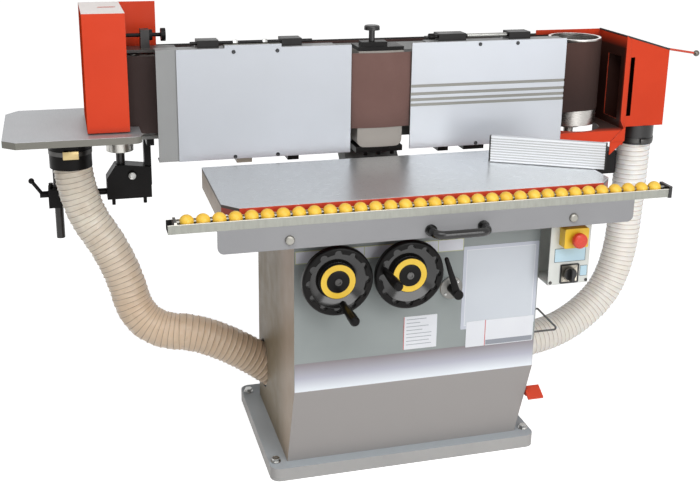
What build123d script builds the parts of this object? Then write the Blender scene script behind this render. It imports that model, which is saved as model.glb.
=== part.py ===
from build123d import *
import math
import os

os.makedirs("parts", exist_ok=True)

# Fits and sheet thicknesses
RUN = 0.05
PLAY = 0.3
SHEET = 3.0
THIN = 2.0

# Plinth and its anchor bolts
PLINTH_STEP = 47.0
PLINTH_DEPTH = 470.0
PLINTH_HEIGHT = 35.0
PLINTH_CORNER = 25.0
PLINTH_RIM = 68.0
PLINTH_FLOOR = 6.0
ANCHOR_EDGE_X = 18.0
ANCHOR_EDGE_Y = 40.0
ANCHOR_R = 6.0
ANCHOR_HEAD_R = 10.5
ANCHOR_HEAD = 8.0
WASHER_R = 13.0
WASHER = 2.5

# Cabinet planes and levels
CABINET_WIDTH = 630.0
CABINET_FRONT_Y = -282.0
CABINET_FOOT_Y = -202.0
CABINET_BACK_Y = 168.0
CABINET_FOLD_Z = 268.0
CABINET_TOP_Z = 673.0
WINDOW_LEFT = 58.0
WINDOW_RIGHT = 50.0
WINDOW_Y0 = -235.0
WINDOW_Y1 = -66.0

# Hoses: radii, rib pitch, ports and bends
HOSE_CREST_R = 51.0
HOSE_ROOT_R = 49.0
HOSE_BORE_R = 47.5
RIB_PITCH = 14.5
RIB_FLANK = 0.25
RIB_LAND = 0.5
HOSE_BEND_SHARE = 0.45
PORT_Y = 105.0
PORT_RIGHT_Z = 140.0
PORT_LEFT_Z = 167.0
PORT_LEFT_DIP = 39.0
PORT_LEFT_IN = 40.0
PORT_LEFT_OUT = 165.0
LEFT_DROP_Z = 652.0
LEFT_UPPER = (-690.0, 180.0, 480.0)
LEFT_LOWER = (-646.0, 146.0, 284.0)
RIGHT_DROP_Z = 600.0
RIGHT_UPPER = (812.0, 176.0, 290.0)
RIGHT_LOWER = (660.0, 150.0, 163.0)
RIGHT_RUN_X = 470.0
HOLE_PLAY = 4.0
CUFF_GAP = 0.5
CUFF_WALL = 3.0

# Dust plenum in the cabinet
PLENUM_LEFT_X = -252.0
PLENUM_RIGHT_X = 225.0
PLENUM_POCKET_GAP = 10.0
PLENUM_Y0 = 28.0
PLENUM_Y1 = 162.0
PLENUM_TOP_Z = 250.0
OUTLET_R = 60.0
OUTLET_Z = 160.0
OUTLET_LENGTH = 60.0
OUTLET_NECK_R = 58.0
COLLAR_LENGTH = 60.0
COLLAR_WALL = 3.5
CATCH_BAR_R = 4.0
CATCH_BAR_IN = 15.0

# Handwheels and shafts
WHEEL_Z = 580.0
WHEEL_LEFT_IN = 88.0
WHEEL_RIGHT_IN = 263.0
WHEEL_R = 85.0
WHEEL_RIM = 17.0
WHEEL_ROUND = 7.0
WHEEL_FRONT_Y = -357.0
WHEEL_RIM_DEPTH = 22.0
WHEEL_DISH_EDGE = 7.0
WHEEL_DISH_LOW = 14.0
WHEEL_WEB_BACK = 3.0
WHEEL_HUB_R = 15.0
WHEEL_BOSS_R = 43.0
WHEEL_BOSS_IN = 3.0
WAVES = 12
WAVE_R = 9.0
SHAFT_R = 9.0
BUSH_R = 15.0
BUSH_FLANGE_R = 22.0
BUSH_FLANGE = 8.0
BUSH_IN = 20.0
BEARING_PLATE_Y = -60.0
BEARING_PLATE = 4.0
BEARING_PLATE_HALF = 40.0
GRIP_R = 11.5
GRIP_NECK_R = 8.0
GRIP_TIP_R = 8.2
GRIP_TIP = 5.5
GRIP_BELLY = 34.0
GRIP_LENGTH = 98.0
GRIP_STUD_R = 5.0
GRIP_STUD = 80.0
GRIP_AT = 62.0
GRIP_LEFT_TURN = -76.8
GRIP_RIGHT_TURN = 166.5
PINION_R = 20.0
PINION_Y0 = -215.0
PINION_Y1 = -92.0

# Saddle, ways and lift
WAY_IN = 35.0
WAY_WIDTH = 30.0
WAY_Y0 = -272.0
WAY_Y1 = -10.0
WAY_HEIGHT = 15.0
SADDLE_Y0 = -255.0
SADDLE_Y1 = -50.0
SADDLE = 16.0
SADDLE_LIP = 12.0
SADDLE_LIP_DROP = 12.0
LIFT_Y = -150.0
COLUMN_LEFT_APART = 67.0
COLUMN_RIGHT_IN = 80.0
COLUMN_R = 20.0
COLUMN_BOTTOM_Z = 540.0
COLUMN_FLANGE_R = 32.0
COLUMN_FLANGE = 8.0
TUBE_R = 30.0
TUBE_DROP = 88.0
LIFT_SCREW_R = 11.0
LIFT_SCREW_BOTTOM_Z = 505.0
GEAR_R = 24.0
GEAR_HALF = 14.0
GEAR_HUB_R = 16.0
GEAR_GAP = 1.0
CAGE_DROP = 128.0
CAGE = 8.0
CAGE_HALF = 25.0
CAGE_LEFT = 18.0
CAGE_RIGHT = 32.0
CAGE_WALL = 6.0
NUT_HALF_X = 20.0
NUT_HALF_Y = 15.0
NUT_DROP = 130.0

# Table
TABLE_X = 485.0
TABLE_Y0 = -330.0
TABLE_Y1 = 23.0
TABLE_Z = 767.0
TABLE_SKIN = 12.0
TABLE_HEIGHT = 22.0
TABLE_RIM = 12.0
TABLE_CHAMFER_X = 35.0
TABLE_CHAMFER_Y = 39.0
TABLE_RIB = 10.0
TABLE_RIBS_X = (-250.0, 0.0, 250.0)
BOSS_R = 36.0
SCREW_BOSS_R = 20.0

# Roller support
ROD_X = 347.0
ROD_Z = 702.0
ROD_R = 10.0
ROD_END_Y = 10.0
ROD_STUD_R = 6.0
ROD_HEAD_R = 11.0
ROD_HEAD = 8.0
ROD_HEAD_ROUND = 4.8
GUIDE_HALF_X = 17.0
GUIDE_DROP = 17.0
GUIDE_FRONT_Y0 = -314.0
GUIDE_REAR_Y0 = -200.0
GUIDE_LENGTH = 30.0
APRON_X = 508.0
APRON_Y = -382.0
APRON = 3.0
APRON_BOTTOM_Z = 680.0
APRON_TOP_Z = 735.0
APRON_CORNER = 15.0
APRON_SHELF = 40.0
RAIL_X = 600.0
RAIL_DEPTH = 42.0
RAIL_HEIGHT = 21.0
CAP_LENGTH = 8.0
CAP_OVER = 2.0
CAP_RISE = 3.0
RAIL_END = 6.0
BALL_COUNT = 33
BALL_PITCH = 35.7
BALL_R = 16.5
BALL_FLAT = 15.0
AXLE_R = 4.0
AXLE_RISE = 20.0
HANDLE_X = 50.0
HANDLE_SPAN = 130.0
HANDLE_OUT = 43.0
HANDLE_R = 10.0
HANDLE_BEND_R = 22.0
HANDLE_FOOT_R = 14.0
HANDLE_FOOT = 6.0
HANDLE_Z = 699.0

# Mitre fence on the table
MITRE_X = 404.0
MITRE_Y = -113.0
MITRE_ANGLE = -28.7
MITRE_LENGTH = 298.0
MITRE_THICK = 14.0
MITRE_OFFSET = 40.0
MITRE_LIFT = 2.0
MITRE_HEIGHT = 68.0
MITRE_CAP = 4.0
MITRE_GROOVE = 1.5
MITRE_GROOVE_HEIGHT = 3.0
MITRE_GROOVES = 9
MITRE_BASE_R = 30.0
MITRE_BASE = 8.0
MITRE_PIN_R = 6.0
MITRE_HUB_R = 18.0
MITRE_HUB = 20.0
MITRE_KNOB_R = 15.0
MITRE_KNOB = 16.0
MITRE_ARM_HALF = 14.0

# Lock lever
LOCK_X = 81.0
LOCK_Z = 508.5
LOCK_TIP_X = 50.0
LOCK_TIP_Z = 600.0
LOCK_PLATE_R = 29.0
LOCK_PLATE = 4.0
LOCK_STUD_R = 7.0
LOCK_STUD_IN = 14.0
LOCK_HUB_R = 12.0
LOCK_HUB = 50.0
LOCK_ARM_IN = 12.0
LOCK_ARM_R = 9.0
LOCK_TIP_R = 5.5

# Control box and its buttons
BOX_LENGTH = 110.0
BOX_Y0 = -337.0
BOX_Y1 = -247.0
BOX_Z0 = 512.0
BOX_Z1 = 664.0
BOX_WALL = 2.5
BOX_ROUND = 4.0
STOP_X = 370.0
STOP_Z = 640.0
STOP_HALF_X = 32.0
STOP_Z0 = 616.0
STOP_Z1 = 666.0
STOP_DEPTH = 28.0
STOP_STEM_R = 11.0
STOP_STEM_IN = 20.0
STOP_HEAD_R = 19.0
STOP_HEAD = 14.0
STOP_HEAD_ROUND = 7.0
STOP_OUT = 11.0
SWITCH_X = 371.0
SWITCH_Z = 540.0
SWITCH_PLATE = 4.0
SWITCH_R = 16.0
SWITCH_DISC = 7.0
SWITCH_BAR = 8.0
SWITCH_BAR_OUT = 14.0
SWITCH_SHAFT_R = 5.0
SWITCH_SHAFT_IN = 14.0

# Wire hook and foot pedal on the right side
HOOK_R = 2.5
HOOK_Y = -276.0
HOOK_TOP_Z = 424.0
HOOK_LOW_Z = 360.0
HOOK_OUT = 70.0
HOOK_STUB = 8.0
HOOK_BEND_R = 5.0
PEDAL_PIVOT_Y = -120.0
PEDAL_Z = 175.0
PEDAL_PIN_R = 6.0
PEDAL_EYE_R = 14.0
PEDAL_ARM = 6.0
PEDAL_ARM_HALF = 9.0
PEDAL_GAP = 1.5
PEDAL_Y0 = -275.0
PEDAL_Y1 = -235.0
PEDAL_LENGTH = 43.0
PEDAL_PLATE = 5.0
PEDAL_TILT = 30.0
PEDAL_HEAD_R = 9.0
PEDAL_HEAD = 4.0

# Belt, drums and shoe
BELT_WIDTH = 200.0
BELT_BOTTOM_Z = 835.0
BELT = 1.2
DRUM_X = 629.0
DRUM_Y = 213.0
DRUM_R = 75.0
DRUM_WALL = 7.0
BELT_LIFT = 0.3
SHOE_R = 300.0
BELT_FRONT_Y = 67.0
SHOE_X = 62.0
SHOE_BOTTOM_Z = 782.0
SHOE_TOP_Z = 1040.0
SHOE_ROUND = 18.0
SHOE_PLATE_TOP = 10.0
SHOE_PLATE_LOW = 15.0
SHOE_PLATE_IN = 6.0
SHOE_LOW_OVER = 3.0
SHOE_BOLT_R = 6.0
SHOE_BOLT = 12.0
SHOE_BOLTS_X = (-34.0, 4.0, 42.0)
SHOE_BOLT_Y = 92.0
CLAMP_X0 = -52.0
CLAMP_X1 = 17.0
CLAMP_Y0 = 78.0
CLAMP_Y1 = 112.0
CLAMP = 13.0
KNOB_X = -22.0
KNOB_Y = 92.0
KNOB_STEM_R = 8.0
KNOB_Z0 = 1093.0
KNOB_HEIGHT = 12.0
KNOB_R = 20.5
KNOB_ROUND = 4.8

# Drive drum and motor
DRIVE_BOTTOM_Z = 790.0
DRIVE_TOP_Z = 1040.0
DRIVE_WEB_Z = 806.0
DRUM_WEB = 14.0
DRUM_HUB_R = 32.0
DRIVE_HUB_LENGTH = 70.0
DRIVE_HUB_DROP = 30.0
MOTOR_SHAFT_R = 14.0
MOTOR_SHAFT_IN = 50.0
MOTOR_BOTTOM_Z = 482.0
MOTOR_TOP_Z = 692.0
MOTOR_R = 84.0
MOTOR_SHIELD = 20.0
MOTOR_SHIELD_OVER = 4.0
MOTOR_BOSS_R = 30.0
MOTOR_BOSS = 12.0
MOTOR_FOOT_HALF = 43.0
MOTOR_FOOT_Z0 = 520.0
MOTOR_FOOT_Z1 = 655.0
MOTOR_BOX_X = 782.0
MOTOR_BOX_HALF = 27.0
MOTOR_BOX_Z0 = 626.0
MOTOR_BOX_Z1 = 696.0
BRACKET_BOTTOM_Z = 482.0
BRACKET = 15.0

# Idler drum, its yoke and the tracking screw
IDLER_BOTTOM_Z = 832.0
IDLER_TOP_Z = 1032.0
IDLER_WEB = 10.0
IDLER_AXLE_R = 12.5
IDLER_VENT_R = 13.0
IDLER_VENT_AT = 45.0
IDLER_VENTS = 4
YOKE_HALF_Y = 33.0
YOKE_PLATE = 8.0
YOKE_TOP_Z = 1044.0
YOKE_LOW_Z = 816.0
YOKE_LEFT_X = -668.0
LUG = 8.0
TRACK_Z = 1077.0
TRACK_R = 5.0
TRACK_BRACKET_X0 = -610.0
TRACK_BRACKET_X1 = -587.0
TRACK_BRACKET_HALF = 17.0
TRACK_BRACKET_TOP_Z = 1092.0
TRACK_JAM_R = 14.0
TRACK_JAM = 8.0
TRACK_KNOB_R = 17.0
TRACK_KNOB_X0 = -557.0
TRACK_KNOB = 12.0

# Head beam and column
BEAM_X = 520.0
BEAM_Y0 = 150.0
BEAM_Y1 = 276.0
BEAM_BOTTOM_Z = 790.0
BEAM_TOP_Z = 1030.0
BEAM_WALL = 5.0
COLUMN_X = 75.0
FOOT_X = 120.0
FOOT_Y0 = 20.0
FOOT_Y1 = 165.0
FOOT = 15.0
COLUMN_BEND_Y = 100.0
COLUMN_BEND = 27.0
COLUMN_CHIN = 46.0
COLUMN_NECK = 15.0

# Fences, carrier plates and arms
FENCE_Y = 68.0
FENCE = 5.0
FENCE_BOTTOM_Z = 772.0
FENCE_TOP_Z = 1059.0
FENCE_LEFT_X0 = -535.0
FENCE_RIGHT_X1 = 530.0
FENCE_GAP_X = 83.0
FENCE_PIN_R = 5.0
FENCE_PIN = 24.0
FENCE_PINS_LEFT = (-350.0, -170.0)
FENCE_PINS_RIGHT = (150.0, 330.0)
FENCE_PIN_UP = 33.0
FENCE_PIN_DOWN = 12.0
FENCE_GROOVES_Z = (939.0, 918.0, 902.0, 888.0)
FENCE_GROOVE_HEIGHT = 8.0
FENCE_GROOVE = 2.5
CLEAT_X0 = -414.0
CLEAT_X1 = -268.0
CLEAT_DEPTH = 16.0
CLEAT_HEIGHT = 8.0
CARRIER = 4.0
CARRIER_FLANGE = 39.0
CARRIER_GAP_X = 125.0
CARRIER_LEFT_X = -585.0
CARRIER_RIGHT_X = 520.0
ARM_BACK_Y = 200.0
ARM_TIP_Y = 82.0
ARM_BLOCK_Y = 126.0
ARM_TOP_Z = 1078.0
ARM_BAR = 16.0
ARM_CLEAR = 5.0
ARM_LOW = 15.0
ARMS_UP_LEFT = ((-480.0, -426.0), (-265.0, -212.0))
ARMS_UP_RIGHT = ((162.0, 239.0), (364.0, 426.0))
ARMS_LOW = ((-385.0, -345.0), (-250.0, -220.0), (170.0, 200.0), (245.0, 305.0))
ARM_ROD_R = 4.5
ARM_ROD_Y = 94.0
ARM_ROD_Z = 1070.0
ARM_ROD_LEFT = (-497.0, -183.0)
ARM_ROD_RIGHT = (152.0, 400.0)

# Rear cover and guards
REAR_Y = 303.0
REAR_X0 = -576.0
REAR_X1 = 562.0
REAR_BOTTOM_Z = 796.0
REAR_TOP_Z = 1036.0
GUARD_X = 758.0
GUARD_LEFT_FRONT_Y = 62.0
GUARD_LEFT_FRONT_X = -655.0
GUARD_LEFT_BACK_X = -561.0
GUARD_LEFT_Z0 = 859.0
GUARD_LEFT_Z1 = 1153.0
GUARD_SLOT = 46.0
GUARD_SLOT_R = 7.0
GUARD_SLOT_X = -692.0
GUARD_SLOT_Y = 190.0
GUARD_RIGHT_BACK_X = 548.0
GUARD_RIGHT_Y0 = 140.0
GUARD_RIGHT_TOP_Z = 1047.0
GUARD_RIGHT_LOW_Z = 726.0
TRAY_Z = 775.0
TRAY_X0 = 552.0
TRAY_Y0 = 113.0
TRAY_HOLE_R = 88.0
SKIRT_Z0 = 745.0
NOSE_TOP_Z = 800.0
LIP = 12.0
GUSSET = 45.0
GUSSET_LOW = 40.0
DUST_HOLE_Y0 = 165.0
DUST_HOLE_Y1 = 240.0
DUST_HOLE_Z0 = 800.0
DUST_HOLE_Z1 = 985.0

# Dust box and tension lever
HOOD_X1 = 900.0
HOOD_Y1 = 250.0
HOOD_BOTTOM_Z = 780.0
HOOD_LEFT_Z = 1046.0
HOOD_RIGHT_Z = 1005.0
HOOD_SLOT_X0 = 776.0
HOOD_SLOT_X1 = 790.0
HOOD_SLOT_Z0 = 812.0
HOOD_SLOT_Z1 = 985.0
HOOD_PORT_X = 840.0
HOOD_PORT_Y = 194.0
CUFF_RIGHT = 58.0
LEVER_X = 908.0
LEVER_Y = 264.0
LEVER_Z = 988.0
LEVER_LUG_HALF = 14.0
LEVER_LUG_LEFT = 40.0
LEVER_LUG = 20.0
LEVER_HUB_R = 11.0
LEVER_HUB = 14.0
LEVER_PIN_R = 5.0
LEVER_PIN = 24.0
LEVER_ROD_R = 3.5
LEVER_BALL_R = 9.5
LEVER_BALL_X = 1072.0
LEVER_BALL_Z = 968.0

# Small table round the idler drum
AUX_Z = 855.0
AUX = 18.0
AUX_X0 = -961.0
AUX_X1 = -628.0
AUX_Y0 = 23.0
AUX_Y1 = 383.0
AUX_CHAMFER_X = 32.0
AUX_CHAMFER_FRONT = 28.0
AUX_CHAMFER_BACK = 40.0
AUX_ROUND = 20.0
AUX_NOTCH_R = 82.0
CHUTE_X0 = -860.0
CHUTE_X1 = -716.0
CHUTE_HALF_Y = 59.0
CHUTE_HEIGHT = 24.0
CHUTE_PORT_X = -801.0
CUFF_LEFT = 74.0
POST_Y = 325.0
POST_X = -668.0
POST_R = 12.0
POST_BOTTOM_Z = 650.0
POST_BOSS_R = 37.0
POST_BOSS_Z = 746.0
POST2_X = -839.0
POST2_R = 11.5
POST2_BOTTOM_Z = 506.0

# Arm that carries the small table
HANGER_X0 = -605.0
HANGER_X1 = -586.0
HANGER_Y0 = 190.0
HANGER_Y1 = 342.0
HANGER_LEG_Y0 = 308.0
HANGER_FOOT = 20.0
HANGER_BOTTOM_Z = 646.0
CASTING_Y0 = 300.0
CASTING_Y1 = 350.0
CASTING_LEFT_X = -709.0
CASTING_RIGHT_X = -588.0
CASTING_BOTTOM_Z = 612.0
CASTING_TOP_Z = 708.0
CASTING_SHOULDER_Z = 671.0
CASTING_RIGHT_Z = 699.0
CASTING_NECK_LEFT = 16.0
CASTING_NECK_RIGHT = 12.0
CASTING_BOLT_IN = 52.0
CASTING_BOLT_Z = 679.0
CASTING_BOLT_R = 9.0
CASTING_BOLT = 9.0
CASTING_SCREW_IN = 17.5
CASTING_SCREW_R = 5.0
CASTING_SCREW = 22.0
SIDE_BAR_R = 9.0
SIDE_BAR_Z = 630.0
CLAMP_BLOCK_X0 = -865.0
CLAMP_BLOCK_X1 = -814.0
CLAMP_BLOCK_Z0 = 598.0
CLAMP_BLOCK_Z1 = 650.0
CLAMP_BLOCK_HALF = 24.0
CLAMP_CAP_R = 6.0
CLAMP_CAP = 13.0
CLAMP_CAP_X = -857.0
CLAMP_LEVER_Z = 632.0
CLAMP_LEVER_HUB_R = 9.0
CLAMP_LEVER_HUB = 22.0
CLAMP_LEVER_ARM = 7.5
CLAMP_LEVER_R = 5.0
CLAMP_LEVER_TIP_X = -907.0
CLAMP_LEVER_TIP_Z = 672.0
CLAMP_LEVER_BALL_R = 8.0


def block(x0, x1, y0, y1, z0, z1):
    """A box between two corners."""
    middle = Pos((x0 + x1) / 2, (y0 + y1) / 2, (z0 + z1) / 2)
    return middle * Box(x1 - x0, y1 - y0, z1 - z0)


def rod_x(y, z, x0, x1, r):
    """A round bar along X."""
    return Pos((x0 + x1) / 2, y, z) * Rot(0, 90, 0) * Cylinder(r, x1 - x0)


def rod_y(x, z, y0, y1, r):
    """A round bar along Y."""
    return Pos(x, (y0 + y1) / 2, z) * Rot(90, 0, 0) * Cylinder(r, y1 - y0)


def rod_z(x, y, z0, z1, r):
    """A round bar along Z."""
    return Pos(x, y, (z0 + z1) / 2) * Cylinder(r, z1 - z0)


def rod_between(a, b, r):
    """A round bar from one point to another."""
    axis = Vector(*b) - Vector(*a)
    return extrude(Plane(origin=a, z_dir=axis) * Circle(r), axis.length)


def slab_x(outline, x0, x1):
    """An outline in Y and Z, made solid from x0 to x1."""
    face = make_face(Polyline(*outline, close=True))
    return extrude(Plane.YZ.offset(x0) * face, x1 - x0)


def slab_y(outline, y0, y1):
    """An outline in X and Z, made solid from y0 to y1."""
    face = make_face(Polyline(*outline, close=True))
    return extrude(Plane.XZ.offset(-y1) * face, y1 - y0)


def slab_z(outline, z0, z1):
    """An outline in X and Y, made solid from z0 to z1."""
    face = make_face(Polyline(*outline, close=True))
    return extrude(Pos(0, 0, z0) * face, z1 - z0)


def ring_z(x, y, z0, z1, outer, inner):
    """A tube along Z."""
    return rod_z(x, y, z0, z1, outer) - rod_z(x, y, z0, z1, inner)


def save(name, *pieces):
    """Write one node, a single solid or a group."""
    solids = []
    for piece in pieces:
        solids.extend(piece.solids())
    shape = solids[0] if len(solids) == 1 else Compound(solids)
    export_step(shape, f"parts/{name}.step")


# Plinth with a pocket in front of the plenum, and the bolts that hold it to the floor
side_x = CABINET_WIDTH / 2
plinth_x = side_x + PLINTH_STEP
plinth_y = PLINTH_DEPTH / 2
plinth = extrude(RectangleRounded(2 * plinth_x, PLINTH_DEPTH, PLINTH_CORNER), PLINTH_HEIGHT)
pocket_x = plinth_x - PLINTH_RIM
pocket_y0 = PLINTH_RIM - plinth_y
pocket_y1 = PLENUM_Y0 - PLENUM_POCKET_GAP
plinth -= block(-pocket_x, pocket_x, pocket_y0, pocket_y1, PLINTH_FLOOR, PLINTH_HEIGHT)
anchor_x = plinth_x - ANCHOR_EDGE_X
anchor_y = plinth_y - ANCHOR_EDGE_Y
anchors = []
for x in (-anchor_x, anchor_x):
    for y in (-anchor_y, anchor_y):
        plinth -= rod_z(x, y, 0, PLINTH_HEIGHT, ANCHOR_R + PLAY)
        washer_top = PLINTH_HEIGHT + WASHER
        head = extrude(Pos(x, y, washer_top) * RegularPolygon(ANCHOR_HEAD_R, 6), ANCHOR_HEAD)
        washer = rod_z(x, y, PLINTH_HEIGHT, washer_top, WASHER_R)
        anchors.append(head + washer + rod_z(x, y, 0, PLINTH_HEIGHT, ANCHOR_R))
save("plinth", plinth)
save("anchor_bolts", *anchors)

# Cabinet: a folded sheet box, open below and behind
wheel_left_x = -side_x + WHEEL_LEFT_IN
wheel_right_x = -side_x + WHEEL_RIGHT_IN
lift_screw_x = wheel_left_x + PINION_R + GEAR_R + GEAR_GAP
column_left_x = lift_screw_x + COLUMN_LEFT_APART
column_right_x = side_x - WAY_IN - WAY_WIDTH - COLUMN_RIGHT_IN
outer = (
    (CABINET_FOOT_Y, PLINTH_HEIGHT),
    (CABINET_FRONT_Y, CABINET_FOLD_Z),
    (CABINET_FRONT_Y, CABINET_TOP_Z),
    (CABINET_BACK_Y, CABINET_TOP_Z),
    (CABINET_BACK_Y, PLINTH_HEIGHT),
)
inner = (
    (CABINET_FOOT_Y + SHEET, PLINTH_HEIGHT),
    (CABINET_FRONT_Y + SHEET, CABINET_FOLD_Z),
    (CABINET_FRONT_Y + SHEET, CABINET_TOP_Z - SHEET),
    (CABINET_BACK_Y, CABINET_TOP_Z - SHEET),
    (CABINET_BACK_Y, PLINTH_HEIGHT),
)
cabinet = slab_x(outer, -side_x, side_x) - slab_x(inner, -side_x + SHEET, side_x - SHEET)
window_x0 = lift_screw_x - WINDOW_LEFT
window_x1 = column_right_x + WINDOW_RIGHT
cabinet -= block(window_x0, window_x1, WINDOW_Y0, WINDOW_Y1, CABINET_TOP_Z - SHEET, CABINET_TOP_Z)
front_in = CABINET_FRONT_Y + SHEET
for x in (wheel_left_x, wheel_right_x):
    cabinet -= rod_y(x, WHEEL_Z, CABINET_FRONT_Y, front_in, BUSH_R + PLAY)

# Round plate for the lock lever, with the hole for its stud
lock_face = CABINET_FRONT_Y - LOCK_PLATE
cabinet += rod_y(LOCK_X, LOCK_Z, lock_face, CABINET_FRONT_Y, LOCK_PLATE_R)
cabinet -= rod_y(LOCK_X, LOCK_Z, lock_face, front_in, LOCK_STUD_R + RUN)

# Hose holes: the left one follows the slanting hose, the right one is square to the wall
dip = math.radians(PORT_LEFT_DIP)
left_dir = Vector(math.cos(dip), 0, -math.sin(dip))
left_port = Vector(-side_x, PORT_Y, PORT_LEFT_Z)
left_end = left_port + left_dir * PORT_LEFT_IN
left_turn = left_port - left_dir * PORT_LEFT_OUT
hole_from = left_port - left_dir * HOSE_CREST_R * 2
hole_to = left_port + left_dir * HOSE_CREST_R * 2
cabinet -= rod_between(tuple(hole_from), tuple(hole_to), HOSE_CREST_R + HOLE_PLAY)
cabinet -= rod_x(PORT_Y, PORT_RIGHT_Z, side_x - SHEET, side_x, HOSE_BORE_R)

# Fixed stud of the pedal, with its head
pedal_x0 = side_x + PEDAL_GAP
pedal_head_x = pedal_x0 + PEDAL_ARM + PEDAL_GAP
cabinet += rod_x(PEDAL_PIVOT_Y, PEDAL_Z, side_x - SHEET, pedal_head_x, PEDAL_PIN_R)
cabinet += rod_x(PEDAL_PIVOT_Y, PEDAL_Z, pedal_head_x, pedal_head_x + PEDAL_HEAD, PEDAL_HEAD_R)
save("cabinet", cabinet)

rear_y1 = CABINET_BACK_Y + SHEET
rear_panel = block(-side_x, side_x, CABINET_BACK_Y, rear_y1, PLINTH_HEIGHT, CABINET_TOP_Z)
rear_panel -= rod_y(0, OUTLET_Z, CABINET_BACK_Y, rear_y1, OUTLET_NECK_R + PLAY)
save("rear_panel", rear_panel)

# Plenum: sheet walls on the plinth, a slanting collar and a side tube with catch bars, and the outlet
plenum_z0 = PLINTH_HEIGHT + SHEET
plenum_z1 = PLENUM_TOP_Z - SHEET
plenum_y0 = PLENUM_Y0 + SHEET
plenum_y1 = PLENUM_Y1 - SHEET
wall_in = side_x - SHEET
collar_r = HOSE_BORE_R + COLLAR_WALL
collar_end = left_end + left_dir * COLLAR_LENGTH
collar_bore = rod_between(tuple(left_end), tuple(collar_end), HOSE_BORE_R)
outlet_y0 = rear_y1 + PLAY
outlet_y1 = outlet_y0 + OUTLET_LENGTH
outlet_bore = rod_y(0, OUTLET_Z, plenum_y1, outlet_y1, OUTLET_NECK_R - SHEET)
floor = block(PLENUM_LEFT_X, PLENUM_RIGHT_X, PLENUM_Y0, PLENUM_Y1, PLINTH_HEIGHT, plenum_z0)
lid = block(PLENUM_LEFT_X, PLENUM_RIGHT_X, PLENUM_Y0, PLENUM_Y1, plenum_z1, PLENUM_TOP_Z)
front = block(PLENUM_LEFT_X, PLENUM_RIGHT_X, PLENUM_Y0, plenum_y0, plenum_z0, plenum_z1)
back = block(PLENUM_LEFT_X, PLENUM_RIGHT_X, plenum_y1, PLENUM_Y1, plenum_z0, plenum_z1) - outlet_bore
left = block(PLENUM_LEFT_X, PLENUM_LEFT_X + SHEET, plenum_y0, plenum_y1, plenum_z0, plenum_z1)
left -= collar_bore
right = block(PLENUM_RIGHT_X - SHEET, PLENUM_RIGHT_X, plenum_y0, plenum_y1, plenum_z0, plenum_z1)
right -= rod_x(PORT_Y, PORT_RIGHT_Z, PLENUM_RIGHT_X - SHEET, PLENUM_RIGHT_X, HOSE_BORE_R)
collar = rod_between(tuple(left_end), tuple(collar_end), collar_r) - collar_bore
collar -= block(PLENUM_LEFT_X, 0, PLENUM_Y0, PLENUM_Y1, 0, PLENUM_TOP_Z)
catch_at = left_end + left_dir * CATCH_BAR_IN
collar += rod_y(catch_at.X, catch_at.Z, PORT_Y - collar_r + THIN, PORT_Y + collar_r - THIN, CATCH_BAR_R)
tube = rod_x(PORT_Y, PORT_RIGHT_Z, PLENUM_RIGHT_X, wall_in, collar_r)
tube -= rod_x(PORT_Y, PORT_RIGHT_Z, PLENUM_RIGHT_X, wall_in, HOSE_BORE_R)
catch_x = side_x - CATCH_BAR_IN
tube += rod_y(catch_x, PORT_RIGHT_Z, PORT_Y - collar_r + THIN, PORT_Y + collar_r - THIN, CATCH_BAR_R)
outlet = rod_y(0, OUTLET_Z, PLENUM_Y1, outlet_y0, OUTLET_NECK_R)
outlet += rod_y(0, OUTLET_Z, outlet_y0, outlet_y1, OUTLET_R)
outlet -= outlet_bore
save("dust_plenum", floor, lid, front, back, left, right, collar, tube, outlet)

# Bearings of the two handwheel shafts: flanged bushes in front, a plate across behind
bush_front_y = CABINET_FRONT_Y - BUSH_FLANGE
bearings = []
for x in (wheel_left_x, wheel_right_x):
    bush = rod_y(x, WHEEL_Z, bush_front_y, CABINET_FRONT_Y, BUSH_FLANGE_R)
    bush += rod_y(x, WHEEL_Z, CABINET_FRONT_Y, CABINET_FRONT_Y + BUSH_IN, BUSH_R)
    bush -= rod_y(x, WHEEL_Z, bush_front_y, CABINET_FRONT_Y + BUSH_IN, SHAFT_R + RUN)
    bearings.append(bush)
shaft_end_y = BEARING_PLATE_Y + BEARING_PLATE
bearing_x = side_x - SHEET
bearing_z0 = WHEEL_Z - BEARING_PLATE_HALF
bearing_z1 = WHEEL_Z + BEARING_PLATE_HALF
bearing = block(-bearing_x, bearing_x, BEARING_PLATE_Y, shaft_end_y, bearing_z0, bearing_z1)
for x in (wheel_left_x, wheel_right_x):
    bearing -= rod_y(x, WHEEL_Z, BEARING_PLATE_Y, shaft_end_y, SHAFT_R + RUN)
bearings.append(bearing)
save("shaft_bearings", *bearings)


# Handwheels with their shafts, and the grips that turn on them
def grip_place(x, turn):
    """Where a grip stands on its wheel, in X and Z."""
    turn = math.radians(turn)
    return x + GRIP_AT * math.cos(turn), WHEEL_Z + GRIP_AT * math.sin(turn)


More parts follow.
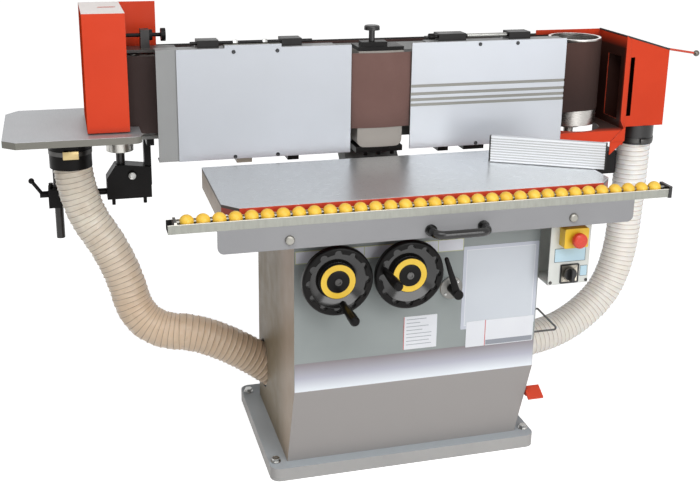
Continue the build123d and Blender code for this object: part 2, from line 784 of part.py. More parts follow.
def handwheel(x, turn):
    """A dished wheel with finger waves, hub, shaft and the stud for its grip."""
    rim_back = WHEEL_FRONT_Y + WHEEL_RIM_DEPTH
    rim_in = WHEEL_R - WHEEL_RIM
    web_back = rim_back - WHEEL_WEB_BACK
    dish_edge = WHEEL_FRONT_Y + WHEEL_DISH_EDGE
    boss_front = WHEEL_FRONT_Y + WHEEL_BOSS_IN
    half = (
        (0, boss_front),
        (WHEEL_BOSS_R, boss_front),
        (WHEEL_BOSS_R, WHEEL_FRONT_Y + WHEEL_DISH_LOW),
        (rim_in, dish_edge),
        (rim_in, WHEEL_FRONT_Y),
        (WHEEL_R, WHEEL_FRONT_Y),
        (WHEEL_R, rim_back),
        (rim_in, rim_back),
        (rim_in, web_back),
        (0, web_back),
    )
    wheel = revolve(make_face(Polyline(*half, close=True)), Axis.Y)
    rims = [e for e in wheel.edges().filter_by(GeomType.CIRCLE) if abs(e.radius - WHEEL_R) < RUN]
    wheel = fillet(rims, WHEEL_ROUND)
    for i in range(WAVES):
        at = 2 * math.pi * i / WAVES
        wheel -= rod_y(rim_in * math.cos(at), rim_in * math.sin(at), WHEEL_FRONT_Y, dish_edge, WAVE_R)
    wheel = Pos(x, 0, WHEEL_Z) * wheel
    wheel += rod_y(x, WHEEL_Z, web_back, bush_front_y - PLAY, WHEEL_HUB_R)
    wheel += rod_y(x, WHEEL_Z, web_back, shaft_end_y, SHAFT_R)
    grip_x, grip_z = grip_place(x, turn)
    wheel += rod_y(grip_x, grip_z, WHEEL_FRONT_Y, web_back, GRIP_NECK_R)
    wheel += rod_y(grip_x, grip_z, WHEEL_FRONT_Y - GRIP_STUD, WHEEL_FRONT_Y, GRIP_STUD_R)
    return wheel


def crank_grip(x, turn):
    """A waisted grip with a blind bore for the stud."""
    y1 = WHEEL_FRONT_Y - PLAY
    y0 = y1 - GRIP_LENGTH
    half = (
        (0, y0),
        (GRIP_TIP_R, y0),
        (GRIP_R, y0 + GRIP_TIP),
        (GRIP_R, y0 + GRIP_BELLY),
        (GRIP_NECK_R, y1),
        (0, y1),
    )
    body = revolve(make_face(Polyline(*half, close=True)), Axis.Y)
    grip_x, grip_z = grip_place(x, turn)
    bore = rod_y(grip_x, grip_z, y1 - GRIP_STUD - PLAY, y1, GRIP_STUD_R + RUN)
    return Pos(grip_x, 0, grip_z) * body - bore


wheel_left = handwheel(wheel_left_x, GRIP_LEFT_TURN)
wheel_left += rod_y(wheel_left_x, WHEEL_Z, PINION_Y0, PINION_Y1, PINION_R)
save("handwheel_left", wheel_left)
save("handwheel_right", handwheel(wheel_right_x, GRIP_RIGHT_TURN))
save("crank_grip_left", crank_grip(wheel_left_x, GRIP_LEFT_TURN))
save("crank_grip_right", crank_grip(wheel_right_x, GRIP_RIGHT_TURN))

# Cross ways on the cabinet top
way_z1 = CABINET_TOP_Z + WAY_HEIGHT
way_x1 = side_x - WAY_IN
way_x0 = way_x1 - WAY_WIDTH
ways = []
for x0, x1 in ((-way_x1, -way_x0), (way_x0, way_x1)):
    ways.append(block(x0, x1, WAY_Y0, WAY_Y1, CABINET_TOP_Z, way_z1))
save("cross_ways", *ways)

# Saddle: plate with lips, guide tubes, cross nut and the cage under the lift gear
saddle_x = way_x1 + PLAY + SADDLE_LIP
saddle_z1 = way_z1 + SADDLE
saddle = block(-saddle_x, saddle_x, SADDLE_Y0, SADDLE_Y1, way_z1, saddle_z1)
for x0, x1 in ((-saddle_x, -saddle_x + SADDLE_LIP), (saddle_x - SADDLE_LIP, saddle_x)):
    saddle += block(x0, x1, SADDLE_Y0, SADDLE_Y1, way_z1 - SADDLE_LIP_DROP, way_z1)
for x in (column_left_x, column_right_x):
    saddle += rod_z(x, LIFT_Y, way_z1 - TUBE_DROP, way_z1, TUBE_R)
    saddle -= rod_z(x, LIFT_Y, way_z1 - TUBE_DROP, saddle_z1, COLUMN_R + RUN)
nut_x0 = wheel_right_x - NUT_HALF_X
nut_x1 = wheel_right_x + NUT_HALF_X
nut_y0 = LIFT_Y - NUT_HALF_Y
nut_y1 = LIFT_Y + NUT_HALF_Y
saddle += block(nut_x0, nut_x1, nut_y0, nut_y1, way_z1 - NUT_DROP, way_z1)
saddle -= rod_y(wheel_right_x, WHEEL_Z, nut_y0, nut_y1, SHAFT_R + RUN)
cage_z1 = way_z1 - CAGE_DROP
cage_z0 = cage_z1 - CAGE
cage_x0 = lift_screw_x - CAGE_LEFT
cage_x1 = lift_screw_x + CAGE_RIGHT
cage_y0 = LIFT_Y - CAGE_HALF
cage_y1 = LIFT_Y + CAGE_HALF
saddle += block(cage_x0, cage_x1, cage_y0, cage_y1, cage_z0, cage_z1)
saddle += block(cage_x1 - CAGE_WALL, cage_x1, cage_y0, cage_y1, cage_z0, way_z1)
saddle -= rod_z(lift_screw_x, LIFT_Y, cage_z0, saddle_z1, LIFT_SCREW_R + THIN)
save("saddle", saddle)

# Lift gear: a nut with a rim that the pinion drives
gear_bottom = cage_z1 + PLAY
gear = rod_z(lift_screw_x, LIFT_Y, WHEEL_Z - GEAR_HALF, WHEEL_Z + GEAR_HALF, GEAR_R)
gear += rod_z(lift_screw_x, LIFT_Y, gear_bottom, way_z1 - PLAY, GEAR_HUB_R)
gear -= rod_z(lift_screw_x, LIFT_Y, gear_bottom, way_z1 - PLAY, LIFT_SCREW_R + RUN)
save("lift_gear", gear)

# Table: a ribbed plate with chamfered front corners
table_z0 = TABLE_Z - TABLE_HEIGHT
skin_z0 = TABLE_Z - TABLE_SKIN


def table_outline(inset):
    """The table's edge, moved in by the given amount."""
    x = TABLE_X - inset
    y0 = TABLE_Y0 + inset
    y1 = TABLE_Y1 - inset
    corner_x = x - TABLE_CHAMFER_X
    corner_y = y0 + TABLE_CHAMFER_Y
    return ((-corner_x, y0), (corner_x, y0), (x, corner_y), (x, y1), (-x, y1), (-x, corner_y))


table = slab_z(table_outline(0), table_z0, TABLE_Z)
table -= slab_z(table_outline(TABLE_RIM), table_z0, skin_z0)
rib_half = TABLE_RIB / 2
rib_x = TABLE_X - TABLE_RIM
rib_y0 = TABLE_Y0 + TABLE_RIM
rib_y1 = TABLE_Y1 - TABLE_RIM
table += block(-rib_x, rib_x, LIFT_Y - rib_half, LIFT_Y + rib_half, table_z0, skin_z0)
for x in TABLE_RIBS_X:
    table += block(x - rib_half, x + rib_half, rib_y0, rib_y1, table_z0, skin_z0)
for x in (column_left_x, column_right_x):
    table += rod_z(x, LIFT_Y, table_z0, skin_z0, BOSS_R)
table += rod_z(lift_screw_x, LIFT_Y, table_z0, skin_z0, SCREW_BOSS_R)
save("table_top", table)

columns = []
for x in (column_left_x, column_right_x):
    column = rod_z(x, LIFT_Y, COLUMN_BOTTOM_Z, table_z0, COLUMN_R)
    column += rod_z(x, LIFT_Y, table_z0 - COLUMN_FLANGE, table_z0, COLUMN_FLANGE_R)
    columns.append(column)
columns.append(rod_z(lift_screw_x, LIFT_Y, LIFT_SCREW_BOTTOM_Z, table_z0, LIFT_SCREW_R))
save("lift_columns", *columns)

# Guides under the table for the rods of the roller support
guides = []
for x in (-ROD_X, ROD_X):
    for y0 in (GUIDE_FRONT_Y0, GUIDE_REAR_Y0):
        y1 = y0 + GUIDE_LENGTH
        guide = block(x - GUIDE_HALF_X, x + GUIDE_HALF_X, y0, y1, ROD_Z - GUIDE_DROP, skin_z0)
        guides.append(guide - rod_y(x, ROD_Z, y0, y1, ROD_R + RUN))
save("rod_guides", *guides)

# Roller support: apron with shelf, rail closed on the left, cap on the right, rods and axle
apron_y1 = APRON_Y + APRON
apron = block(-APRON_X, APRON_X, APRON_Y, apron_y1, APRON_BOTTOM_Z, APRON_TOP_Z)
low_corners = apron.edges().filter_by(Axis.Y).group_by(Axis.Z)[0]
apron = fillet(low_corners, APRON_CORNER)
shelf_z0 = APRON_TOP_Z - APRON
apron += block(-APRON_X, APRON_X, APRON_Y, APRON_Y + APRON_SHELF, shelf_z0, APRON_TOP_Z)
for x in (-ROD_X, ROD_X):
    apron -= rod_y(x, ROD_Z, APRON_Y, apron_y1, ROD_STUD_R + PLAY)
save("apron", apron)

rail_y1 = APRON_Y + RAIL_DEPTH
rail_z1 = APRON_TOP_Z + RAIL_HEIGHT
rail = block(-RAIL_X, RAIL_X, APRON_Y, rail_y1, APRON_TOP_Z, rail_z1)
rail -= block(-RAIL_X, RAIL_X, APRON_Y + THIN, rail_y1 - THIN, APRON_TOP_Z + THIN, rail_z1)
axle_y = APRON_Y + RAIL_DEPTH / 2
axle_z = APRON_TOP_Z + AXLE_RISE
rail_end_x = -RAIL_X + RAIL_END
axle_x0 = -RAIL_X + RAIL_END / 2
rail += block(-RAIL_X, rail_end_x, APRON_Y, rail_y1, APRON_TOP_Z, axle_z + AXLE_R + CAP_OVER)
rail -= rod_x(axle_y, axle_z, axle_x0, rail_end_x, AXLE_R + PLAY)
save("roller_rail", rail)

cap_x1 = RAIL_X + CAP_LENGTH
axle_x1 = RAIL_X + CAP_LENGTH / 2
cap_y0 = APRON_Y - CAP_OVER
cap_y1 = rail_y1 + CAP_OVER
cap_z1 = axle_z + AXLE_R + CAP_RISE
cap = block(RAIL_X, cap_x1, cap_y0, cap_y1, APRON_TOP_Z - CAP_OVER, cap_z1)
cap -= rod_x(axle_y, axle_z, RAIL_X, axle_x1, AXLE_R + PLAY)
save("rail_cap", cap)

rods = []
for x in (-ROD_X, ROD_X):
    rod = rod_y(x, ROD_Z, apron_y1, ROD_END_Y, ROD_R)
    rod += rod_y(x, ROD_Z, APRON_Y, apron_y1, ROD_STUD_R)
    head = rod_y(x, ROD_Z, APRON_Y - ROD_HEAD, APRON_Y, ROD_HEAD_R)
    head = fillet(head.edges().group_by(Axis.Y)[0], ROD_HEAD_ROUND)
    rods.append(rod + head)
rods.append(rod_x(axle_y, axle_z, axle_x0, axle_x1, AXLE_R))
save("support_rods", *rods)

# Ball rollers in one row on the axle
ball = Sphere(BALL_R) & Box(BALL_FLAT * 2, BALL_R * 2, BALL_R * 2)
ball -= Rot(0, 90, 0) * Cylinder(AXLE_R + RUN, BALL_R * 2)
balls = []
for i in range(BALL_COUNT):
    x = (i - (BALL_COUNT - 1) / 2) * BALL_PITCH
    balls.append(Pos(x, axle_y, axle_z) * ball)
save("rollers", *balls)

# Bow handle on the apron
handle_x0 = HANDLE_X - HANDLE_SPAN / 2
handle_x1 = HANDLE_X + HANDLE_SPAN / 2
handle_y = APRON_Y - HANDLE_OUT
handle_path = FilletPolyline(
    (handle_x0, APRON_Y, HANDLE_Z),
    (handle_x0, handle_y, HANDLE_Z),
    (handle_x1, handle_y, HANDLE_Z),
    (handle_x1, APRON_Y, HANDLE_Z),
    radius=HANDLE_BEND_R,
)
handle = sweep(Plane(origin=handle_path @ 0, z_dir=handle_path % 0) * Circle(HANDLE_R), path=handle_path)
for x in (handle_x0, handle_x1):
    handle += rod_y(x, HANDLE_Z, APRON_Y - HANDLE_FOOT, APRON_Y, HANDLE_FOOT_R)
save("pull_handle", handle)

# Mitre fence: base with pin and knob on the table, grooved bar on a hub that turns on the pin
mitre_at = Pos(MITRE_X, MITRE_Y, TABLE_Z) * Rot(0, 0, MITRE_ANGLE)
hub_z0 = MITRE_BASE + PLAY
hub_z1 = hub_z0 + MITRE_HUB
knob_z0 = hub_z1 + PLAY
mitre_base = rod_z(0, 0, 0, MITRE_BASE, MITRE_BASE_R)
mitre_base += rod_z(0, 0, MITRE_BASE, knob_z0, MITRE_PIN_R)
mitre_base += rod_z(0, 0, knob_z0, knob_z0 + MITRE_KNOB, MITRE_KNOB_R)
save("mitre_base", mitre_at * mitre_base)
bar_half = MITRE_LENGTH / 2 - MITRE_CAP
bar_y0 = -MITRE_OFFSET - MITRE_THICK
bar_z1 = MITRE_LIFT + MITRE_HEIGHT
bar = block(-bar_half, bar_half, bar_y0, -MITRE_OFFSET, MITRE_LIFT, bar_z1)
for i in range(MITRE_GROOVES):
    z0 = MITRE_LIFT + (i + 1) * MITRE_HEIGHT / (MITRE_GROOVES + 1) - MITRE_GROOVE_HEIGHT / 2
    bar -= block(-bar_half, bar_half, bar_y0, bar_y0 + MITRE_GROOVE, z0, z0 + MITRE_GROOVE_HEIGHT)
bar += rod_z(0, 0, hub_z0, hub_z1, MITRE_HUB_R)
bar += block(-MITRE_ARM_HALF, MITRE_ARM_HALF, -MITRE_OFFSET, 0, hub_z0, hub_z1)
bar -= rod_z(0, 0, hub_z0, hub_z1, MITRE_PIN_R + RUN)
save("mitre_fence", mitre_at * bar)
mitre_caps = []
for x0, x1 in ((-bar_half - MITRE_CAP, -bar_half), (bar_half, bar_half + MITRE_CAP)):
    mitre_caps.append(mitre_at * block(x0, x1, bar_y0, -MITRE_OFFSET, MITRE_LIFT, bar_z1))
save("mitre_caps", *mitre_caps)

# Lock lever with its stud through the round plate
lock_y0 = lock_face - PLAY - LOCK_HUB
lock_arm_y = lock_y0 + LOCK_ARM_IN
lock = rod_y(LOCK_X, LOCK_Z, lock_y0, lock_face - PLAY, LOCK_HUB_R)
lock += rod_y(LOCK_X, LOCK_Z, lock_face - PLAY, front_in + LOCK_STUD_IN, LOCK_STUD_R)
lock_tip = Vector(LOCK_TIP_X, lock_arm_y, LOCK_TIP_Z)
lock_arm = lock_tip - Vector(LOCK_X, lock_arm_y, LOCK_Z)
lock_root = Plane(origin=(LOCK_X, lock_arm_y, LOCK_Z), z_dir=lock_arm)
lock_end = Plane(origin=lock_tip, z_dir=lock_arm)
lock += loft([lock_root * Circle(LOCK_ARM_R), lock_end * Circle(LOCK_TIP_R)])
lock += Pos(lock_tip) * Sphere(LOCK_TIP_R)
save("lock_lever", lock)

# Control box, open to the cabinet wall
box_x1 = side_x + BOX_LENGTH
box = block(side_x, box_x1, BOX_Y0, BOX_Y1, BOX_Z0, BOX_Z1)
box = fillet(box.faces().sort_by(Axis.X)[-1].edges(), BOX_ROUND)
box -= block(
    side_x,
    box_x1 - BOX_WALL,
    BOX_Y0 + BOX_WALL,
    BOX_Y1 - BOX_WALL,
    BOX_Z0 + BOX_WALL,
    BOX_Z1 - BOX_WALL,
)
box -= rod_y(SWITCH_X, SWITCH_Z, BOX_Y0, BOX_Y0 + BOX_WALL, SWITCH_SHAFT_R + RUN)
save("control_box", box)

# Emergency stop: housing and mushroom button
stop_y0 = BOX_Y0 - STOP_DEPTH
housing = block(STOP_X - STOP_HALF_X, STOP_X + STOP_HALF_X, stop_y0, BOX_Y0, STOP_Z0, STOP_Z1)
housing = fillet(housing.edges().filter_by(Axis.Y), BOX_ROUND)
housing -= rod_y(STOP_X, STOP_Z, stop_y0, BOX_Y0, STOP_STEM_R + RUN)
save("estop_housing", housing)
mushroom_y1 = stop_y0 - STOP_OUT
mushroom_y0 = mushroom_y1 - STOP_HEAD
mushroom = rod_y(STOP_X, STOP_Z, mushroom_y0, mushroom_y1, STOP_HEAD_R)
mushroom = fillet(mushroom.edges().group_by(Axis.Y)[0], STOP_HEAD_ROUND)
mushroom += rod_y(STOP_X, STOP_Z, mushroom_y1, stop_y0 + STOP_STEM_IN, STOP_STEM_R)
save("estop_button", mushroom)

# Rotary switch
switch_y1 = BOX_Y0 - SWITCH_PLATE
switch_y0 = switch_y1 - SWITCH_DISC
knob = rod_y(SWITCH_X, SWITCH_Z, switch_y0, switch_y1, SWITCH_R)
bar_half_x = SWITCH_BAR / 2
knob += block(
    SWITCH_X - bar_half_x,
    SWITCH_X + bar_half_x,
    switch_y0 - SWITCH_BAR_OUT,
    switch_y0,
    SWITCH_Z - SWITCH_R,
    SWITCH_Z + SWITCH_R,
)
knob += rod_y(SWITCH_X, SWITCH_Z, switch_y1, BOX_Y0 + SWITCH_SHAFT_IN, SWITCH_SHAFT_R)
save("switch_knob", knob)

# Wire hook
hook_x1 = side_x + HOOK_STUB
hook_path = FilletPolyline(
    (side_x, HOOK_Y, HOOK_TOP_Z),
    (hook_x1, HOOK_Y, HOOK_TOP_Z),
    (side_x + HOOK_OUT, HOOK_Y, HOOK_LOW_Z),
    (side_x, HOOK_Y, HOOK_LOW_Z),
    radius=HOOK_BEND_R,
)
hook = sweep(Plane(origin=hook_path @ 0, z_dir=hook_path % 0) * Circle(HOOK_R), path=hook_path)
save("wire_hook", hook)

# Foot pedal on its stud
pedal_x1 = pedal_x0 + PEDAL_ARM
arm_z0 = PEDAL_Z - PEDAL_ARM_HALF
arm_z1 = PEDAL_Z + PEDAL_ARM_HALF
plate_y = (PEDAL_Y0 + PEDAL_Y1) / 2
plate_x = pedal_x0 + PEDAL_LENGTH / 2
pedal = block(pedal_x0, pedal_x1, plate_y, PEDAL_PIVOT_Y, arm_z0, arm_z1)
pedal += rod_x(PEDAL_PIVOT_Y, PEDAL_Z, pedal_x0, pedal_x1, PEDAL_EYE_R)
plate = Box(PEDAL_LENGTH, PEDAL_Y1 - PEDAL_Y0, PEDAL_PLATE)
pedal += Pos(plate_x, plate_y, PEDAL_Z) * Rot(PEDAL_TILT, 0, 0) * plate
pedal -= rod_x(PEDAL_PIVOT_Y, PEDAL_Z, pedal_x0, pedal_x1, PEDAL_PIN_R + RUN)
save("foot_pedal", pedal)

# Head column: a foot on the cabinet, leaning back to the beam
column_outline = (
    (FOOT_Y0, CABINET_TOP_Z),
    (FOOT_Y1, CABINET_TOP_Z),
    (BEAM_Y1, BEAM_BOTTOM_Z - COLUMN_NECK),
    (BEAM_Y1, BEAM_BOTTOM_Z),
    (BEAM_Y0, BEAM_BOTTOM_Z),
    (BEAM_Y0, BEAM_BOTTOM_Z - COLUMN_CHIN),
    (COLUMN_BEND_Y, CABINET_TOP_Z + COLUMN_BEND),
    (FOOT_Y0, CABINET_TOP_Z + FOOT),
)
head_support = slab_x(column_outline, -COLUMN_X, COLUMN_X)
head_support += block(-FOOT_X, FOOT_X, FOOT_Y0, FOOT_Y1, CABINET_TOP_Z, CABINET_TOP_Z + FOOT)
save("head_support", head_support)

# Head beam: a square tube with the motor plate on its right end
beam = block(-BEAM_X, BEAM_X, BEAM_Y0, BEAM_Y1, BEAM_BOTTOM_Z, BEAM_TOP_Z)
beam -= block(
    -BEAM_X,
    BEAM_X,
    BEAM_Y0 + BEAM_WALL,
    BEAM_Y1 - BEAM_WALL,
    BEAM_BOTTOM_Z + BEAM_WALL,
    BEAM_TOP_Z - BEAM_WALL,
)
plate_x1 = BEAM_X + BRACKET
beam += block(BEAM_X, plate_x1, BEAM_Y0, BEAM_Y1, BRACKET_BOTTOM_Z, BEAM_TOP_Z)
save("head_beam", beam)

# Idler yoke: end plate, two arms, axle, lug and tracking bracket
yoke_x0 = -BEAM_X - BRACKET
yoke_y0 = DRUM_Y - YOKE_HALF_Y
yoke_y1 = DRUM_Y + YOKE_HALF_Y
yoke_low_z0 = YOKE_LOW_Z - YOKE_PLATE
yoke_top_z0 = YOKE_TOP_Z - YOKE_PLATE
yoke = block(yoke_x0, -BEAM_X, BEAM_Y0, BEAM_Y1, BEAM_BOTTOM_Z, BEAM_TOP_Z)
yoke += block(yoke_x0, -BEAM_X, yoke_y0, yoke_y1, BEAM_TOP_Z, YOKE_TOP_Z)
yoke += block(YOKE_LEFT_X, yoke_x0, yoke_y0, yoke_y1, yoke_top_z0, YOKE_TOP_Z)
yoke += block(YOKE_LEFT_X, yoke_x0, yoke_y0, yoke_y1, yoke_low_z0, YOKE_LOW_Z)
yoke += rod_z(-DRUM_X, DRUM_Y, YOKE_LOW_Z, yoke_top_z0, IDLER_AXLE_R)
track_y0 = DRUM_Y - TRACK_BRACKET_HALF
track_y1 = DRUM_Y + TRACK_BRACKET_HALF
lug_x1 = YOKE_LEFT_X + LUG
yoke += block(YOKE_LEFT_X, lug_x1, track_y0, track_y1, YOKE_TOP_Z, TRACK_BRACKET_TOP_Z)
yoke += block(TRACK_BRACKET_X0, TRACK_BRACKET_X1, track_y0, track_y1, YOKE_TOP_Z, TRACK_BRACKET_TOP_Z)
yoke -= rod_x(DRUM_Y, TRACK_Z, TRACK_BRACKET_X0, TRACK_BRACKET_X1, TRACK_R + RUN)
save("idler_yoke", yoke)

jam_x0 = TRACK_BRACKET_X1 + PLAY
track = rod_x(DRUM_Y, TRACK_Z, lug_x1 + PLAY, TRACK_KNOB_X0, TRACK_R)
track += rod_x(DRUM_Y, TRACK_Z, jam_x0, jam_x0 + TRACK_JAM, TRACK_JAM_R)
track += rod_x(DRUM_Y, TRACK_Z, TRACK_KNOB_X0, TRACK_KNOB_X0 + TRACK_KNOB, TRACK_KNOB_R)
save("tracking_screw", track)

# Idler drum: a tube with two vented webs that run on the axle
idler = ring_z(-DRUM_X, DRUM_Y, IDLER_BOTTOM_Z, IDLER_TOP_Z, DRUM_R, DRUM_R - DRUM_WALL)
for z0 in (IDLER_BOTTOM_Z, IDLER_TOP_Z - IDLER_WEB):
    idler += ring_z(-DRUM_X, DRUM_Y, z0, z0 + IDLER_WEB, DRUM_R - DRUM_WALL, IDLER_AXLE_R + RUN)
for i in range(IDLER_VENTS):
    turn = 2 * math.pi * i / IDLER_VENTS
    vent_x = -DRUM_X + IDLER_VENT_AT * math.cos(turn)
    vent_y = DRUM_Y + IDLER_VENT_AT * math.sin(turn)
    idler -= rod_z(vent_x, vent_y, IDLER_BOTTOM_Z, IDLER_TOP_Z, IDLER_VENT_R)
save("idler_drum", idler)

# Drive drum with web, hub and the motor shaft it sits on
drive_web_z1 = DRIVE_WEB_Z + DRUM_WEB
drive_hub_z0 = DRIVE_WEB_Z - DRIVE_HUB_DROP
drive_hub_z1 = drive_hub_z0 + DRIVE_HUB_LENGTH
motor_boss_z1 = MOTOR_TOP_Z + MOTOR_BOSS
shaft_bottom_z = motor_boss_z1 - MOTOR_SHAFT_IN
drive = ring_z(DRUM_X, DRUM_Y, DRIVE_BOTTOM_Z, DRIVE_TOP_Z, DRUM_R, DRUM_R - DRUM_WALL)
drive += rod_z(DRUM_X, DRUM_Y, DRIVE_WEB_Z, drive_web_z1, DRUM_R - DRUM_WALL)
drive += rod_z(DRUM_X, DRUM_Y, drive_hub_z0, drive_hub_z1, DRUM_HUB_R)
drive += rod_z(DRUM_X, DRUM_Y, shaft_bottom_z, drive_hub_z0, MOTOR_SHAFT_R)
save("drive_drum", drive)

# Motor: barrel, end shields, boss, foot and terminal box
motor = rod_z(DRUM_X, DRUM_Y, MOTOR_BOTTOM_Z, MOTOR_TOP_Z, MOTOR_R)
for z0 in (MOTOR_BOTTOM_Z, MOTOR_TOP_Z - MOTOR_SHIELD):
    motor += rod_z(DRUM_X, DRUM_Y, z0, z0 + MOTOR_SHIELD, MOTOR_R + MOTOR_SHIELD_OVER)
motor += rod_z(DRUM_X, DRUM_Y, MOTOR_TOP_Z, motor_boss_z1, MOTOR_BOSS_R)
foot_y0 = DRUM_Y - MOTOR_FOOT_HALF
foot_y1 = DRUM_Y + MOTOR_FOOT_HALF
motor += block(plate_x1, DRUM_X, foot_y0, foot_y1, MOTOR_FOOT_Z0, MOTOR_FOOT_Z1)
terminal_y0 = DRUM_Y - MOTOR_BOX_HALF
terminal_y1 = DRUM_Y + MOTOR_BOX_HALF
motor += block(DRUM_X, MOTOR_BOX_X, terminal_y0, terminal_y1, MOTOR_BOX_Z0, MOTOR_BOX_Z1)
motor -= rod_z(DRUM_X, DRUM_Y, shaft_bottom_z - PLAY, motor_boss_z1, MOTOR_SHAFT_R + RUN)
save("motor", motor)


# Belt: a loop over both drums and the rounded shoe
def belt_face(offset):
    """The closed path at a distance outside the drums and the shoe."""
    shoe_r = SHOE_R + offset
    drum_r = DRUM_R + BELT_LIFT + offset
    shoe_y = BELT_FRONT_Y + BELT + SHOE_R
    dx = DRUM_X
    dy = DRUM_Y - shoe_y
    spread = math.acos((shoe_r - drum_r) / math.hypot(dx, dy))
    lean = math.atan2(dy, dx) - spread
    nx = math.cos(lean)
    ny = math.sin(lean)
    shoe_t = (shoe_r * nx, shoe_y + shoe_r * ny)
    drum_t = (DRUM_X + drum_r * nx, DRUM_Y + drum_r * ny)
    mid_turn = (lean + math.pi / 2) / 2
    drum_m = (DRUM_X + drum_r * math.cos(mid_turn), DRUM_Y + drum_r * math.sin(mid_turn))
    back = DRUM_Y + drum_r
    edges = [
        ThreePointArc((-shoe_t[0], shoe_t[1]), (0, shoe_y - shoe_r), shoe_t),
        Line(shoe_t, drum_t),
        ThreePointArc(drum_t, drum_m, (DRUM_X, back)),
        Line((DRUM_X, back), (-DRUM_X, back)),
        ThreePointArc((-DRUM_X, back), (-drum_m[0], drum_m[1]), (-drum_t[0], drum_t[1])),
        Line((-drum_t[0], drum_t[1]), (-shoe_t[0], shoe_t[1])),
    ]
    return make_face(edges)


belt_profile = belt_face(BELT) - belt_face(0)
belt = extrude(Pos(0, 0, BELT_BOTTOM_Z) * belt_profile, BELT_WIDTH)
save("sanding_belt", belt)

# Shoe behind the belt, with its plates and clamp knob
shoe_front = BELT_FRONT_Y + BELT + PLAY
shoe_centre = shoe_front + SHOE_R
shoe_edge = shoe_centre - math.sqrt(SHOE_R**2 - SHOE_X**2)
shoe_face = make_face(
    [
        ThreePointArc((-SHOE_X, shoe_edge), (0, shoe_front), (SHOE_X, shoe_edge)),
        Line((SHOE_X, shoe_edge), (SHOE_X, BEAM_Y0)),
        Line((SHOE_X, BEAM_Y0), (-SHOE_X, BEAM_Y0)),
        Line((-SHOE_X, BEAM_Y0), (-SHOE_X, shoe_edge)),
    ]
)
shoe = extrude(Pos(0, 0, SHOE_BOTTOM_Z) * shoe_face, SHOE_TOP_Z - SHOE_BOTTOM_Z)
shoe = fillet(shoe.edges().filter_by(Axis.Y).group_by(Axis.Z)[0], SHOE_ROUND)
save("sanding_shoe", shoe)

shoe_plate_y0 = shoe_front + SHOE_PLATE_IN
shoe_plate_z1 = SHOE_TOP_Z + SHOE_PLATE_TOP
clamp_z1 = shoe_plate_z1 + CLAMP
top_plate = block(-SHOE_X, SHOE_X, shoe_plate_y0, BEAM_Y0, SHOE_TOP_Z, shoe_plate_z1)
clamp_plate = block(CLAMP_X0, CLAMP_X1, CLAMP_Y0, CLAMP_Y1, shoe_plate_z1, clamp_z1)
low_x = SHOE_X + SHOE_LOW_OVER
low_z0 = SHOE_BOTTOM_Z - SHOE_PLATE_LOW
low_plate = block(-low_x, low_x, shoe_plate_y0, BEAM_Y0, low_z0, SHOE_BOTTOM_Z)
for x in SHOE_BOLTS_X:
    low_plate += rod_z(x, SHOE_BOLT_Y, low_z0 - SHOE_BOLT, low_z0, SHOE_BOLT_R)
save("shoe_plates", top_plate + clamp_plate, low_plate)

shoe_knob = rod_z(KNOB_X, KNOB_Y, clamp_z1 + PLAY, KNOB_Z0, KNOB_STEM_R)
cap_top = rod_z(KNOB_X, KNOB_Y, KNOB_Z0, KNOB_Z0 + KNOB_HEIGHT, KNOB_R)
shoe_knob += fillet(cap_top.edges().group_by(Axis.Z)[-1], KNOB_ROUND)
save("shoe_knob", shoe_knob)

# Carrier plates behind the fences, bent back above and below the belt
fence_back = FENCE_Y + FENCE
carrier_y1 = fence_back + CARRIER_FLANGE
carrier_z0 = FENCE_BOTTOM_Z + SHEET
carrier_z1 = FENCE_TOP_Z - SHEET
carriers = []
for x0, x1, pins in (
    (CARRIER_LEFT_X, -CARRIER_GAP_X, FENCE_PINS_LEFT),
    (CARRIER_GAP_X, CARRIER_RIGHT_X, FENCE_PINS_RIGHT),
):
    carrier = block(x0, x1, fence_back, carrier_y1, FENCE_BOTTOM_Z, FENCE_TOP_Z)
    carrier -= block(x0, x1, fence_back + CARRIER, carrier_y1, carrier_z0, carrier_z1)
    for x in pins:
        for z in (FENCE_BOTTOM_Z + FENCE_PIN_UP, FENCE_TOP_Z - FENCE_PIN_DOWN):
            carrier -= rod_y(x, z, fence_back, fence_back + CARRIER, FENCE_PIN_R + RUN)
    carriers.append(carrier)
save("front_plates", *carriers)


# Fences with the pins that guide them
def fence(x0, x1, pins):
    """A flat fence with four guide pins behind it."""
    panel = block(x0, x1, FENCE_Y, fence_back, FENCE_BOTTOM_Z, FENCE_TOP_Z)
    for x in pins:
        for z in (FENCE_BOTTOM_Z + FENCE_PIN_UP, FENCE_TOP_Z - FENCE_PIN_DOWN):
            panel += rod_y(x, z, fence_back, fence_back + FENCE_PIN, FENCE_PIN_R)
    return panel


fence_left = fence(FENCE_LEFT_X0, -FENCE_GAP_X, FENCE_PINS_LEFT)
cleat_y1 = fence_back + CLEAT_DEPTH
cleat = block(CLEAT_X0, CLEAT_X1, FENCE_Y, cleat_y1, FENCE_TOP_Z, FENCE_TOP_Z + CLEAT_HEIGHT)
cleat -= block(CLEAT_X0, CLEAT_X1, fence_back, cleat_y1, FENCE_TOP_Z, FENCE_TOP_Z + PLAY)
save("fence_left", fence_left + cleat)
fence_right = fence(FENCE_GAP_X, FENCE_RIGHT_X1, FENCE_PINS_RIGHT)
for z in FENCE_GROOVES_Z:
    groove_z1 = z + FENCE_GROOVE_HEIGHT
    fence_right -= block(FENCE_GAP_X, FENCE_RIGHT_X1, FENCE_Y, FENCE_Y + FENCE_GROOVE, z, groove_z1)
save("fence_right", fence_right)

